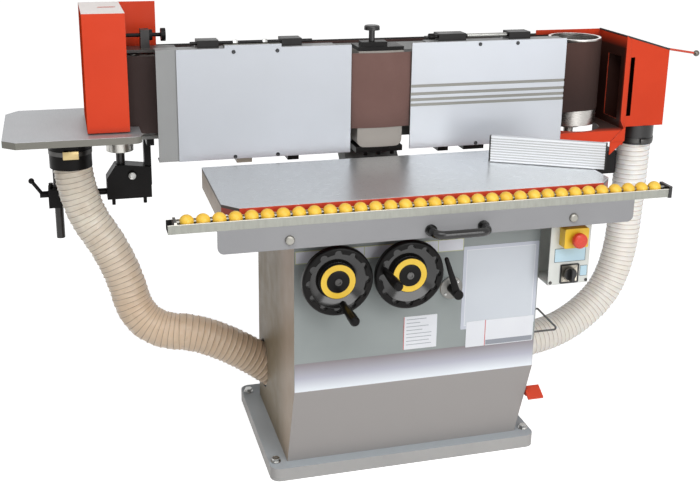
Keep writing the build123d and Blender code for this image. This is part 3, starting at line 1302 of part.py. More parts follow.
# Arms from the beam to the carrier plates, above and below the belt
belt_top_z = BELT_BOTTOM_Z + BELT_WIDTH
bar_low_z = belt_top_z + ARM_CLEAR
arm_up = (
    (ARM_TIP_Y, FENCE_TOP_Z),
    (carrier_y1 + PLAY, FENCE_TOP_Z),
    (carrier_y1 + PLAY, bar_low_z),
    (BEAM_Y0, bar_low_z),
    (BEAM_Y0, BEAM_TOP_Z),
    (ARM_BACK_Y, BEAM_TOP_Z),
    (ARM_BACK_Y, bar_low_z + ARM_BAR),
    (ARM_BLOCK_Y, bar_low_z + ARM_BAR),
    (ARM_BLOCK_Y, ARM_TOP_Z),
    (ARM_TIP_Y, ARM_TOP_Z),
)
arm_low_z = FENCE_BOTTOM_Z - ARM_LOW
arm_down = (
    (ARM_TIP_Y, FENCE_BOTTOM_Z),
    (ARM_TIP_Y, arm_low_z),
    (ARM_BACK_Y, arm_low_z),
    (ARM_BACK_Y, BEAM_BOTTOM_Z),
    (BEAM_Y0, BEAM_BOTTOM_Z),
    (BEAM_Y0, FENCE_BOTTOM_Z),
)
arms = []
for spans, ends in ((ARMS_UP_LEFT, ARM_ROD_LEFT), (ARMS_UP_RIGHT, ARM_ROD_RIGHT)):
    group = rod_x(ARM_ROD_Y, ARM_ROD_Z, ends[0], ends[1], ARM_ROD_R)
    for x0, x1 in spans:
        group += slab_x(arm_up, x0, x1)
    arms.append(group)
for x0, x1 in ARMS_LOW:
    arms.append(slab_x(arm_down, x0, x1))
save("fence_arms", *arms)

# Rear cover with its foot on the beam
rear_cover = block(REAR_X0, REAR_X1, REAR_Y, REAR_Y + THIN, REAR_BOTTOM_Z, REAR_TOP_Z)
rear_cover += block(-BEAM_X, BEAM_X, BEAM_Y1, REAR_Y, REAR_BOTTOM_Z, REAR_BOTTOM_Z + THIN)
save("rear_cover", rear_cover)

# Left guard: front, end, back and slotted top
guard_in = REAR_Y - THIN
top_z0 = GUARD_LEFT_Z1 - THIN
left_guard = block(
    -GUARD_X,
    GUARD_LEFT_FRONT_X,
    GUARD_LEFT_FRONT_Y,
    GUARD_LEFT_FRONT_Y + THIN,
    GUARD_LEFT_Z0,
    GUARD_LEFT_Z1,
)
end_x = -GUARD_X + THIN
left_guard += block(-GUARD_X, end_x, GUARD_LEFT_FRONT_Y, REAR_Y, GUARD_LEFT_Z0, GUARD_LEFT_Z1)
left_guard += block(-GUARD_X, GUARD_LEFT_BACK_X, guard_in, REAR_Y, GUARD_LEFT_Z0, GUARD_LEFT_Z1)
left_guard += block(-GUARD_X, GUARD_LEFT_FRONT_X, GUARD_LEFT_FRONT_Y, REAR_Y, top_z0, GUARD_LEFT_Z1)
slot_at = Pos(GUARD_SLOT_X, GUARD_SLOT_Y, top_z0)
slot = extrude(slot_at * SlotOverall(GUARD_SLOT, 2 * GUARD_SLOT_R), THIN)
save("left_guard", left_guard - slot)

# Right guard: back, end with dust hole and nose, tray with skirt, lip and gussets
guard_x1 = GUARD_X + THIN
tray_z1 = TRAY_Z + SHEET
right_guard = block(GUARD_RIGHT_BACK_X, guard_x1, guard_in, REAR_Y, TRAY_Z, GUARD_RIGHT_TOP_Z)
end_wall = block(GUARD_X, guard_x1, GUARD_RIGHT_Y0, REAR_Y, GUARD_RIGHT_LOW_Z, GUARD_RIGHT_TOP_Z)
end_wall -= block(GUARD_X, guard_x1, DUST_HOLE_Y0, DUST_HOLE_Y1, DUST_HOLE_Z0, DUST_HOLE_Z1)
right_guard += end_wall
tray = block(plate_x1, guard_x1, GUARD_RIGHT_Y0, REAR_Y, TRAY_Z, tray_z1)
tray += block(TRAY_X0, guard_x1, TRAY_Y0, GUARD_RIGHT_Y0, TRAY_Z, tray_z1)
tray -= rod_z(DRUM_X, DRUM_Y, TRAY_Z, tray_z1, TRAY_HOLE_R)
right_guard += tray
skirt_y1 = TRAY_Y0 + SHEET
right_guard += block(TRAY_X0, guard_x1, TRAY_Y0, skirt_y1, SKIRT_Z0, tray_z1)
nose = (
    (TRAY_Y0, SKIRT_Z0),
    (GUARD_RIGHT_Y0, SKIRT_Z0),
    (GUARD_RIGHT_Y0, NOSE_TOP_Z),
    (TRAY_Y0, tray_z1),
)
right_guard += slab_x(nose, GUARD_X, guard_x1)
lip_x1 = guard_x1 + LIP
lip_outline = (
    (guard_x1, GUARD_RIGHT_LOW_Z),
    (lip_x1, GUARD_RIGHT_LOW_Z),
    (lip_x1, GUARD_RIGHT_TOP_Z - LIP),
    (guard_x1, GUARD_RIGHT_TOP_Z),
)
right_guard += slab_y(lip_outline, GUARD_RIGHT_Y0, GUARD_RIGHT_Y0 + THIN)
gusset_x0 = guard_x1 - GUSSET
gusset = ((gusset_x0, SKIRT_Z0), (guard_x1, SKIRT_Z0), (guard_x1, SKIRT_Z0 + GUSSET))
right_guard += slab_y(gusset, TRAY_Y0 - THIN, TRAY_Y0)
gusset = ((gusset_x0, SKIRT_Z0), (guard_x1, SKIRT_Z0), (gusset_x0, SKIRT_Z0 - GUSSET_LOW))
right_guard += slab_y(gusset, TRAY_Y0, skirt_y1)
save("right_guard", right_guard)

# Dust box with sloping top, front slot, hose port and the lug of the tension lever
hood_y0 = GUARD_RIGHT_Y0 + THIN
hood_outline = (
    (guard_x1, HOOD_BOTTOM_Z),
    (HOOD_X1, HOOD_BOTTOM_Z),
    (HOOD_X1, HOOD_RIGHT_Z),
    (guard_x1, HOOD_LEFT_Z),
)
hood_inner = (
    (guard_x1, HOOD_BOTTOM_Z + THIN),
    (HOOD_X1 - THIN, HOOD_BOTTOM_Z + THIN),
    (HOOD_X1 - THIN, HOOD_RIGHT_Z - THIN),
    (guard_x1, HOOD_LEFT_Z - THIN),
)
hood = slab_y(hood_outline, hood_y0, HOOD_Y1) - slab_y(hood_inner, hood_y0 + THIN, HOOD_Y1 - THIN)
hood -= block(HOOD_SLOT_X0, HOOD_SLOT_X1, hood_y0, hood_y0 + THIN, HOOD_SLOT_Z0, HOOD_SLOT_Z1)
hood -= rod_z(HOOD_PORT_X, HOOD_PORT_Y, HOOD_BOTTOM_Z, HOOD_BOTTOM_Z + THIN, HOSE_BORE_R)
rear_lug_x0 = LEVER_X - LEVER_LUG_LEFT
rear_lug_x1 = LEVER_X + LEVER_LUG_HALF
rear_lug_y1 = LEVER_Y + LEVER_LUG_HALF
lug = block(rear_lug_x0, rear_lug_x1, HOOD_Y1, rear_lug_y1, LEVER_Z - LEVER_LUG, LEVER_Z)
lug -= rod_z(LEVER_X, LEVER_Y, LEVER_Z - LEVER_LUG, LEVER_Z, LEVER_PIN_R + RUN)
save("dust_hood", hood + lug)

lever_z0 = LEVER_Z + PLAY
lever_mid = lever_z0 + LEVER_HUB / 2
lever = rod_z(LEVER_X, LEVER_Y, lever_z0, lever_z0 + LEVER_HUB, LEVER_HUB_R)
lever += rod_z(LEVER_X, LEVER_Y, LEVER_Z - LEVER_PIN, lever_z0, LEVER_PIN_R)
lever_ball = (LEVER_BALL_X, LEVER_Y, LEVER_BALL_Z)
lever += rod_between((LEVER_X, LEVER_Y, lever_mid), lever_ball, LEVER_ROD_R)
lever += Pos(*lever_ball) * Sphere(LEVER_BALL_R)
save("tension_lever", lever)

cuff_in = HOSE_CREST_R + CUFF_GAP
cuff_out = cuff_in + CUFF_WALL
cuff_z0 = HOOD_BOTTOM_Z - CUFF_RIGHT
cuff_right = ring_z(HOOD_PORT_X, HOOD_PORT_Y, cuff_z0, HOOD_BOTTOM_Z, cuff_out, cuff_in)
save("hose_cuff_right", cuff_right)

# Small table: a plate with a round notch for the drum
aux_z0 = AUX_Z - AUX
aux_outline = (
    (AUX_X0 + AUX_CHAMFER_X, AUX_Y0),
    (AUX_X1, AUX_Y0),
    (AUX_X1, AUX_Y1),
    (AUX_X0 + AUX_CHAMFER_X, AUX_Y1),
    (AUX_X0, AUX_Y1 - AUX_CHAMFER_BACK),
    (AUX_X0, AUX_Y0 + AUX_CHAMFER_FRONT),
)
aux = slab_z(aux_outline, aux_z0, AUX_Z)
aux = fillet(aux.edges().filter_by(Axis.Z).group_by(Axis.X)[-1], AUX_ROUND)
aux -= rod_z(-DRUM_X, DRUM_Y, aux_z0, AUX_Z, AUX_NOTCH_R)
save("aux_table", aux)

# Dust chute under the small table, open towards the drum, with the hose cuff
chute_z0 = aux_z0 - CHUTE_HEIGHT
chute_y0 = DRUM_Y - CHUTE_HALF_Y
chute_y1 = DRUM_Y + CHUTE_HALF_Y
chute = block(CHUTE_X0, CHUTE_X1, chute_y0, chute_y1, chute_z0, aux_z0)
chute -= block(CHUTE_X0 + THIN, CHUTE_X1, chute_y0 + THIN, chute_y1 - THIN, chute_z0 + THIN, aux_z0)
chute -= rod_z(CHUTE_PORT_X, DRUM_Y, chute_z0, chute_z0 + THIN, HOSE_BORE_R)
chute += ring_z(CHUTE_PORT_X, DRUM_Y, chute_z0 - CUFF_LEFT, chute_z0, cuff_out, cuff_in)
save("aux_chute", chute)

# Posts of the small table
post = rod_z(POST_X, POST_Y, POST_BOTTOM_Z, POST_BOSS_Z, POST_R)
post += rod_z(POST_X, POST_Y, POST_BOSS_Z, aux_z0, POST_BOSS_R)
post2 = rod_z(POST2_X, POST_Y, POST2_BOTTOM_Z, aux_z0, POST2_R)
save("aux_posts", post, post2)

# Arm of the small table: hanger under the yoke, casting, side bar and clamp block
hanger_foot_z0 = yoke_low_z0 - HANGER_FOOT
bracket = block(HANGER_X0, HANGER_X1, HANGER_Y0, HANGER_Y1, hanger_foot_z0, yoke_low_z0)
bracket += block(HANGER_X0, HANGER_X1, HANGER_LEG_Y0, HANGER_Y1, HANGER_BOTTOM_Z, yoke_low_z0)
casting = (
    (CASTING_LEFT_X, CASTING_BOTTOM_Z),
    (CASTING_RIGHT_X, CASTING_BOTTOM_Z),
    (CASTING_RIGHT_X, CASTING_RIGHT_Z),
    (POST_X + CASTING_NECK_RIGHT, CASTING_TOP_Z),
    (POST_X - CASTING_NECK_LEFT, CASTING_TOP_Z),
    (CASTING_LEFT_X, CASTING_SHOULDER_Z),
)
bracket += slab_y(casting, CASTING_Y0, CASTING_Y1)
bolt_x = CASTING_RIGHT_X - CASTING_BOLT_IN
bracket += rod_y(bolt_x, CASTING_BOLT_Z, CASTING_Y0 - CASTING_BOLT, CASTING_Y0, CASTING_BOLT_R)
screw_z0 = CASTING_BOTTOM_Z - CASTING_SCREW
for x in (CASTING_LEFT_X + CASTING_SCREW_IN, CASTING_RIGHT_X - CASTING_SCREW_IN):
    bracket += rod_z(x, POST_Y, screw_z0, CASTING_BOTTOM_Z, CASTING_SCREW_R)
bracket += rod_x(POST_Y, SIDE_BAR_Z, CLAMP_BLOCK_X1, CASTING_LEFT_X, SIDE_BAR_R)
block_y0 = POST_Y - CLAMP_BLOCK_HALF
block_y1 = POST_Y + CLAMP_BLOCK_HALF
bracket += block(CLAMP_BLOCK_X0, CLAMP_BLOCK_X1, block_y0, block_y1, CLAMP_BLOCK_Z0, CLAMP_BLOCK_Z1)
bracket += rod_z(CLAMP_CAP_X, POST_Y, CLAMP_BLOCK_Z1, CLAMP_BLOCK_Z1 + CLAMP_CAP, CLAMP_CAP_R)
bracket -= rod_z(POST_X, POST_Y, CASTING_BOTTOM_Z, CASTING_TOP_Z, POST_R + RUN)
bracket -= rod_z(POST2_X, POST_Y, CLAMP_BLOCK_Z0, CLAMP_BLOCK_Z1, POST2_R + RUN)
save("aux_bracket", bracket)

clamp_hub_x1 = CLAMP_BLOCK_X0 - PLAY
clamp_hub_x0 = clamp_hub_x1 - CLAMP_LEVER_HUB
clamp_mid = clamp_hub_x0 + CLAMP_LEVER_ARM
clamp_tip = (CLAMP_LEVER_TIP_X, POST_Y, CLAMP_LEVER_TIP_Z)
clamp_lever = rod_x(POST_Y, CLAMP_LEVER_Z, clamp_hub_x0, clamp_hub_x1, CLAMP_LEVER_HUB_R)
clamp_lever += rod_between((clamp_mid, POST_Y, CLAMP_LEVER_Z), clamp_tip, CLAMP_LEVER_R)
clamp_lever += Pos(*clamp_tip) * Sphere(CLAMP_LEVER_BALL_R)
save("aux_clamp_lever", clamp_lever)

# Hoses: ribbed tubes along filleted routes
left_route = (
    (CHUTE_PORT_X, DRUM_Y, chute_z0),
    (CHUTE_PORT_X, DRUM_Y, LEFT_DROP_Z),
    LEFT_UPPER,
    LEFT_LOWER,
    tuple(left_turn),
    tuple(left_end),
)
right_route = (
    (HOOD_PORT_X, HOOD_PORT_Y, HOOD_BOTTOM_Z),
    (HOOD_PORT_X, HOOD_PORT_Y, RIGHT_DROP_Z),
    RIGHT_UPPER,
    RIGHT_LOWER,
    (RIGHT_RUN_X, PORT_Y, PORT_RIGHT_Z),
    (side_x, PORT_Y, PORT_RIGHT_Z),
)


def hose(route):
    """A ribbed tube: a ruled skin through rings set along the route, less its bore."""
    points = [Vector(*point) for point in route]
    bends = []
    for before, at, after in zip(points, points[1:], points[2:]):
        half_turn = math.radians((at - before).get_angle(after - at)) / 2
        shorter = min((at - before).length, (after - at).length)
        bends.append(HOSE_BEND_SHARE * shorter / math.tan(half_turn))
    path = FilletPolyline(*route, radius=bends)
    ribs = round(path.length / RIB_PITCH)
    rings = [(0.0, HOSE_ROOT_R)]
    for i in range(ribs):
        rings.append(((i + RIB_FLANK) / ribs, HOSE_CREST_R))
        rings.append(((i + RIB_LAND) / ribs, HOSE_CREST_R))
        rings.append(((i + RIB_LAND + RIB_FLANK) / ribs, HOSE_ROOT_R))
        rings.append(((i + 1) / ribs, HOSE_ROOT_R))
    skins = []
    bores = []
    for at, r in rings:
        along = path % at
        x_dir = Vector(0, 1, 0) - along * along.Y
        plane = Plane(origin=path @ at, x_dir=x_dir, z_dir=along)
        skins.append(plane * Circle(r))
        bores.append(plane * Circle(HOSE_BORE_R))
    print("hose length", round(path.length), "bend radii", [round(r) for r in bends])
    return loft(skins, ruled=True) - loft(bores[::4], ruled=True)


save("hose_left", hose(left_route))
save("hose_right", hose(right_route))
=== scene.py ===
import math

import bmesh
import bpy
from mathutils import Matrix, Vector


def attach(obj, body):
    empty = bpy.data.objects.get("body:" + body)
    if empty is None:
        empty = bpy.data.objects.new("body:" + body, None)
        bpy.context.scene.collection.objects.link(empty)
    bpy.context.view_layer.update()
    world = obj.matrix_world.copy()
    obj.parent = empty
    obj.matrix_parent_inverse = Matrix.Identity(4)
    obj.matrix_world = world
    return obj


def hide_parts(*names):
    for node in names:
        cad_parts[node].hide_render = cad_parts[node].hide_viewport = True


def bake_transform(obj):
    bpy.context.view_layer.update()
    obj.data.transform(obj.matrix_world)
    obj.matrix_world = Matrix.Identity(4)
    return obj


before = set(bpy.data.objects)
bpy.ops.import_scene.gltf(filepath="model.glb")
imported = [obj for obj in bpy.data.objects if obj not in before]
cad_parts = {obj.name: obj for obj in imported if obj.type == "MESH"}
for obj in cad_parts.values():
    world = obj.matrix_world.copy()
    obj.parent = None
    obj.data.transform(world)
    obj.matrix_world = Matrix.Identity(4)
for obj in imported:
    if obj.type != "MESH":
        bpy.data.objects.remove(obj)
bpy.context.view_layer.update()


# The studio: a white floor that runs on into a white background, a soft lamp in front, a low wide one
# below it, a large one above to the left, and the camera a little to the left, looking down.
def seen_directly(tree):
    """1 for what the camera, a mirror or glass shows, 0 for what only lights the machine."""
    path = tree.nodes.new("ShaderNodeLightPath")
    shown = path.outputs["Is Camera Ray"]
    for kind in ("Is Glossy Ray", "Is Transmission Ray"):
        either = tree.nodes.new("ShaderNodeMath")
        either.operation = "MAXIMUM"
        tree.links.new(shown, either.inputs[0])
        tree.links.new(path.outputs[kind], either.inputs[1])
        shown = either.outputs[0]
    return shown


bpy.context.scene.view_settings.view_transform = "Standard"
bpy.ops.object.select_all(action="DESELECT")
bpy.ops.mesh.primitive_plane_add(size=60, location=(0, 0, -0.001))
floor = bpy.context.object
floor.name = "studio_floor"
floor_white = bpy.data.materials.new("floor_white")
floor_white.use_nodes = True
tree = floor_white.node_tree
tree.nodes.clear()
matt = tree.nodes.new("ShaderNodeBsdfDiffuse")
matt.inputs["Color"].default_value = (0.90, 0.90, 0.90, 1)
glow = tree.nodes.new("ShaderNodeEmission")
dim = tree.nodes.new("ShaderNodeMath")
dim.operation = "MULTIPLY"
dim.inputs[1].default_value = 0.82
both = tree.nodes.new("ShaderNodeAddShader")
out = tree.nodes.new("ShaderNodeOutputMaterial")
tree.links.new(seen_directly(tree), dim.inputs[0])
tree.links.new(dim.outputs[0], glow.inputs["Strength"])
tree.links.new(matt.outputs[0], both.inputs[0])
tree.links.new(glow.outputs[0], both.inputs[1])
tree.links.new(both.outputs[0], out.inputs["Surface"])
floor.data.materials.append(floor_white)

world = bpy.data.worlds.new("white_room")
bpy.context.scene.world = world
world.use_nodes = True
tree = world.node_tree
sky = tree.nodes["Background"]
sky.inputs["Color"].default_value = (1, 1, 1, 1)
level = tree.nodes.new("ShaderNodeMapRange")
level.inputs["To Min"].default_value = 0.24
level.inputs["To Max"].default_value = 1.0
tree.links.new(seen_directly(tree), level.inputs["Value"])
tree.links.new(level.outputs["Result"], sky.inputs["Strength"])


def soft_lamp(name, place, aim, width, height, watts):
    """A softbox at a place, turned to a point."""
    lamp = bpy.data.objects.new(name, bpy.data.lights.new(name, "AREA"))
    lamp.data.shape = "RECTANGLE"
    lamp.data.size = width
    lamp.data.size_y = height
    lamp.data.energy = watts
    lamp.location = place
    lamp.rotation_euler = (Vector(aim) - Vector(place)).to_track_quat("-Z", "Y").to_euler()
    bpy.context.scene.collection.objects.link(lamp)


machine_middle = (0, 0, 0.6)
soft_lamp("key_lamp", (1.0, -3.6, 2.4), machine_middle, width=1.8, height=1.8, watts=50)
soft_lamp("low_lamp", (0.8, -4.2, 0.9), machine_middle, width=3.2, height=0.8, watts=30)
soft_lamp("top_lamp", (-1.0, -1.9, 3.6), machine_middle, width=2.4, height=2.4, watts=60)

yaw, pitch, roll = math.radians(15.837), math.radians(16.448), math.radians(0.8246)
ahead = Vector((math.sin(yaw) * math.cos(pitch), math.cos(yaw) * math.cos(pitch), -math.sin(pitch)))
level_right = Vector((math.cos(yaw), -math.sin(yaw), 0))
level_up = level_right.cross(ahead)
right = level_right * math.cos(roll) + level_up * math.sin(roll)
up = level_up * math.cos(roll) - level_right * math.sin(roll)
camera = bpy.data.objects.new("photo_camera", bpy.data.cameras.new("photo_camera"))
picture_width, focal_length, picture_drop = 700, 1050.64, 60.0
camera.data.sensor_width = 36.0
camera.data.lens = camera.data.sensor_width * focal_length / picture_width
camera.data.shift_y = -picture_drop / picture_width
camera.data.clip_end = 100
camera.matrix_world = Matrix((right, up, -ahead)).transposed().to_4x4()
camera.location = (-0.8206, -2.5344, 1.4889)
bpy.context.scene.collection.objects.link(camera)
bpy.context.scene.camera = camera


# The plinth: a welded steel tray, sprayed grey, with a zinc-plated bolt to the floor in each corner.
# The paint is a satin spray coat: faint clouds, a little orange peel, lighter where edges have
# rubbed; on the plinth its top faces are painted a pale bluish grey as painted top light.
def tone(red, green, blue):
    """A colour as the eye reads it, 0 to 255, in the shader's own scale."""
    shares = [c / 255 for c in (red, green, blue)]
    return tuple(s / 12.92 if s < 0.04 else ((s + 0.055) / 1.055) ** 2.4 for s in shares) + (1.0,)


def grain(tree, scale, detail=3.0, stretch=(1, 1, 1)):
    """Noise fixed to the piece; stretch packs it closer along an axis."""
    place = tree.nodes.new("ShaderNodeTexCoord")
    pack = tree.nodes.new("ShaderNodeMapping")
    pack.inputs["Scale"].default_value = stretch
    noise = tree.nodes.new("ShaderNodeTexNoise")
    noise.inputs["Scale"].default_value = scale
    noise.inputs["Detail"].default_value = detail
    tree.links.new(place.outputs["Object"], pack.inputs["Vector"])
    tree.links.new(pack.outputs["Vector"], noise.inputs["Vector"])
    return noise.outputs[0]


def spread(tree, source, low, high, start=0.3, end=0.7):
    """The source's range from start to end, laid out between low and high."""
    fit = tree.nodes.new("ShaderNodeMapRange")
    fit.inputs["From Min"].default_value = start
    fit.inputs["From Max"].default_value = end
    fit.inputs["To Min"].default_value = low
    fit.inputs["To Max"].default_value = high
    tree.links.new(source, fit.inputs["Value"])
    return fit.outputs["Result"]


def mix_tones(tree, share, first, second):
    """The first tone where share is 0, the second where it is 1."""
    mix = tree.nodes.new("ShaderNodeMix")
    mix.data_type = "RGBA"
    for socket, value in ((mix.inputs[6], first), (mix.inputs[7], second)):
        if isinstance(value, tuple):
            socket.default_value = value
        else:
            tree.links.new(value, socket)
    tree.links.new(share, mix.inputs[0])
    return mix.outputs[2]


def only_where(tree, *shares):
    """1 where every one of the shares is 1."""
    whole = shares[0]
    for share in shares[1:]:
        times = tree.nodes.new("ShaderNodeMath")
        times.operation = "MULTIPLY"
        tree.links.new(whole, times.inputs[0])
        tree.links.new(share, times.inputs[1])
        whole = times.outputs[0]
    return whole


def clouded(tree, scale, first, second):
    """Two tones in soft clouds."""
    return mix_tones(tree, spread(tree, grain(tree, scale), 0.0, 1.0), first, second)


def along(tree, axis, start, end):
    """0 to 1 along an axis of the piece, from one place to another."""
    place = tree.nodes.new("ShaderNodeTexCoord")
    apart = tree.nodes.new("ShaderNodeSeparateXYZ")
    tree.links.new(place.outputs["Object"], apart.inputs["Vector"])
    return spread(tree, apart.outputs[axis], 0.0, 1.0, start, end)


def soft_edges(tree, shader, radius, relief, depth, strength):
    """Breaks the sharp edges for the light, lays the fine relief on top, and tells how near an edge is."""
    broken = tree.nodes.new("ShaderNodeBevel")
    broken.samples = 4
    broken.inputs["Radius"].default_value = radius
    bump = tree.nodes.new("ShaderNodeBump")
    bump.inputs["Strength"].default_value = strength
    bump.inputs["Distance"].default_value = depth
    tree.links.new(broken.outputs["Normal"], bump.inputs["Normal"])
    tree.links.new(relief, bump.inputs["Height"])
    tree.links.new(bump.outputs["Normal"], shader.inputs["Normal"])
    face = tree.nodes.new("ShaderNodeNewGeometry")
    agree = tree.nodes.new("ShaderNodeVectorMath")
    agree.operation = "DOT_PRODUCT"
    tree.links.new(broken.outputs["Normal"], agree.inputs[0])
    tree.links.new(face.outputs["Normal"], agree.inputs[1])
    return spread(tree, agree.outputs["Value"], 1.0, 0.0, 0.80, 0.97)


def new_finish(name):
    """An empty material with its shader."""
    finish = bpy.data.materials.new(name)
    finish.use_nodes = True
    return finish, finish.node_tree, finish.node_tree.nodes["Principled BSDF"]


def colour_in(tree, shader, tones):
    """Gives a finish its colour."""
    tree.links.new(tones, shader.inputs["Base Color"])


def roughen(tree, shader, source, *span):
    """Gives a finish its roughness: the source, laid out over a span."""
    tree.links.new(spread(tree, source, *span), shader.inputs["Roughness"])


def facing(tree, axis):
    """How far a face looks along an axis, from -1 to 1."""
    face = tree.nodes.new("ShaderNodeNewGeometry")
    apart = tree.nodes.new("ShaderNodeSeparateXYZ")
    tree.links.new(face.outputs["Normal"], apart.inputs["Vector"])
    return apart.outputs[axis]


def turned(tree, axis, start, end):
    """0 to 1 by how far a face looks along an axis."""
    return spread(tree, facing(tree, axis), 0.0, 1.0, start, end)


def sprayed_paint(name, colour, shade, rubbed, gloss=0.40, edge=0.0014, peel=0.22, side_tones=None, low=None):
    """Paint sprayed on steel sheet; the side tones are an axis, a side of it, and the tones painted on
    the faces turned to that side, in front and behind; low is a height, and the tone below it."""
    finish, tree, shader = new_finish(name)
    coat = clouded(tree, 5.0, shade, colour)
    if low:
        height, changed = low
        coat = mix_tones(tree, along(tree, "Z", height, height - 0.02), coat, changed)
    if side_tones:
        axis, side, front, back = side_tones
        changed = mix_tones(tree, along(tree, "Y", -0.20, -0.08), front, back)
        coat = mix_tones(tree, turned(tree, axis, side * 0.80, side * 0.95), coat, changed)
    near_edge = soft_edges(tree, shader, edge, grain(tree, 650.0, 2.0), depth=0.0002, strength=peel)
    scuffed = only_where(tree, near_edge, spread(tree, grain(tree, 60.0), 0.0, 0.8, 0.45, 0.65))
    colour_in(tree, shader, mix_tones(tree, scuffed, coat, rubbed))
    roughen(tree, shader, grain(tree, 22.0), gloss - 0.05, gloss + 0.08)
    shader.inputs["Specular IOR Level"].default_value = 0.10
    return finish


def machined_metal(name, light, dark, polish, lines=(1, 1, 1), fine=90.0, edge=0.0006):
    """Bare metal with the fine lines of its last cut or brushing."""
    finish, tree, shader = new_finish(name)
    streaks = grain(tree, fine, 4.0, lines)
    body = clouded(tree, 7.0, dark, light)
    colour_in(tree, shader, mix_tones(tree, spread(tree, streaks, 0.0, 0.25), body, dark))
    roughen(tree, shader, streaks, polish - 0.05, polish + 0.10)
    soft_edges(tree, shader, edge, streaks, depth=0.00005, strength=0.20)
    shader.inputs["Metallic"].default_value = 1.0
    return finish


def dress(finish, *names):
    """Gives solids of the frame their finish."""
    for name in names:
        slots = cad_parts[name].data.materials
        slots.clear()
        slots.append(finish)


# Painted top light: the pale bluish grey of the plinth's top faces.
top_light = tone(182, 189, 194)
plinth_grey = sprayed_paint(
    "plinth_grey", tone(178, 177, 175), tone(170, 169, 168), tone(204, 206, 206), side_tones=("Z", 1, top_light, top_light)
)
bright_steel = machined_metal("bright_steel", tone(205, 205, 203), tone(160, 160, 158), polish=0.30)
dress(plinth_grey, "plinth")
dress(bright_steel, "anchor_bolts")

# The cabinet: folded and welded sheet, sprayed grey, its left side painted a warm brown, darker towards
# the back, as painted shade and reflection, and warmer near the floor; its back is closed by a screwed
# panel. The front carries a pale band, a strip of three fields, two plain plates and a ruled one, all of
# thin printed sheet, and the round plate under the lock lever.
# Painted shade and reflection: the warm brown of the faces turned left, darker towards the back.
cabinet_grey = sprayed_paint(
    "cabinet_grey",
    tone(158, 164, 163),
    tone(148, 154, 153),
    tone(190, 193, 191),
    side_tones=("X", -1, tone(184, 167, 148), tone(142, 130, 110)),
    low=(0.30, tone(166, 162, 160)),
)
dress(cabinet_grey, "cabinet", "rear_panel")
FRONT = -0.282


def fresh(add, **where):
    """Adds a start shape alone, with its size and place in its mesh, and opens it for editing."""
    bpy.ops.object.select_all(action="DESELECT")
    add(**where)
    bpy.ops.object.transform_apply(location=True, rotation=True, scale=True)
    bpy.ops.object.mode_set(mode="EDIT")


def fresh_block(middle, size, turn=(0, 0, 0)):
    """A plain block, open for editing."""
    fresh(bpy.ops.mesh.primitive_cube_add, size=1, location=middle, rotation=turn, scale=size)


def fresh_round(middle, radius, length, sides=64, turn=(math.pi / 2, 0, 0), ends="NGON"):
    """A plain cylinder, lying from front to back where it isn't turned, open for editing."""
    fresh(
        bpy.ops.mesh.primitive_cylinder_add,
        vertices=sides,
        radius=radius,
        depth=length,
        end_fill_type=ends,
        location=middle,
        rotation=turn,
    )


def pick(kind, test):
    """Selects just the faces or edges of the open piece that pass the test."""
    bpy.ops.mesh.select_mode(type=kind)
    bpy.ops.mesh.select_all(action="DESELECT")
    mesh = bpy.context.object.data
    shape = bmesh.from_edit_mesh(mesh)
    for item in shape.faces if kind == "FACE" else shape.edges:
        item.select_set(bool(test(item)))
    shape.select_flush_mode()
    bmesh.update_edit_mesh(mesh)


def tint(index, test=None):
    """Gives the picked faces, or those that pass the test, one of the piece's finishes."""
    mesh = bpy.context.object.data
    for face in bmesh.from_edit_mesh(mesh).faces:
        if face.select if test is None else test(face):
            face.material_index = index
    bmesh.update_edit_mesh(mesh)


def settle(name, body, slot, *finishes):
    """Closes the piece, names it, gives it its finishes and sets it on its body."""
    bpy.ops.object.mode_set(mode="OBJECT")
    bpy.ops.object.shade_smooth_by_angle(angle=math.radians(35))
    piece = bpy.context.object
    piece.name = name
    piece.data.name = name
    for finish in finishes:
        piece.data.materials.append(finish)
    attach(piece, body)
    return piece


def another(piece, name, body, shift):
    """A copy of a piece with its own mesh, moved by a distance."""
    twin = piece.copy()
    twin.data = piece.data.copy()
    twin.name = name
    twin.data.name = name
    twin.data.transform(Matrix.Translation(shift))
    bpy.context.scene.collection.objects.link(twin)
    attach(twin, body)
    return twin


def along_y(edge):
    """True for an edge that runs from front to back."""
    run = edge.verts[1].co - edge.verts[0].co
    return abs(run.y) > 0.9 * run.length


def to_front(face):
    """True for a face that looks to the front."""
    return face.normal.y < -0.9


def within(face, low, high):
    """True for a face whose middle lies between two corners."""
    return all(a < b < c for a, b, c in zip(low, face.calc_center_median(), high))


def printed_plate(name, spot, back, thick, corner, finishes, areas=()):
    """A thin plate on a front face with rounded corners; each area is left, right, low, high, finish."""
    left, right, low, high = spot
    middle = ((left + right) / 2, back - thick / 2, (low + high) / 2)
    fresh_block(middle, (right - left, thick, high - low))
    pick("EDGE", along_y)
    bpy.ops.mesh.bevel(offset=corner, segments=5, affect="EDGES")
    for area in areas:
        for at, across in zip(area[:4], ((1, 0, 0), (1, 0, 0), (0, 0, 1), (0, 0, 1))):
            pick("FACE", to_front)
            bpy.ops.mesh.bisect(plane_co=(at, 0, at), plane_no=across)
    for x0, x1, z0, z1, finish in areas:
        tint(finish, lambda f: to_front(f) and within(f, (x0, -1, z0), (x1, 1, z1)))
    return settle(name, "base", "cabinet_paint", *finishes)


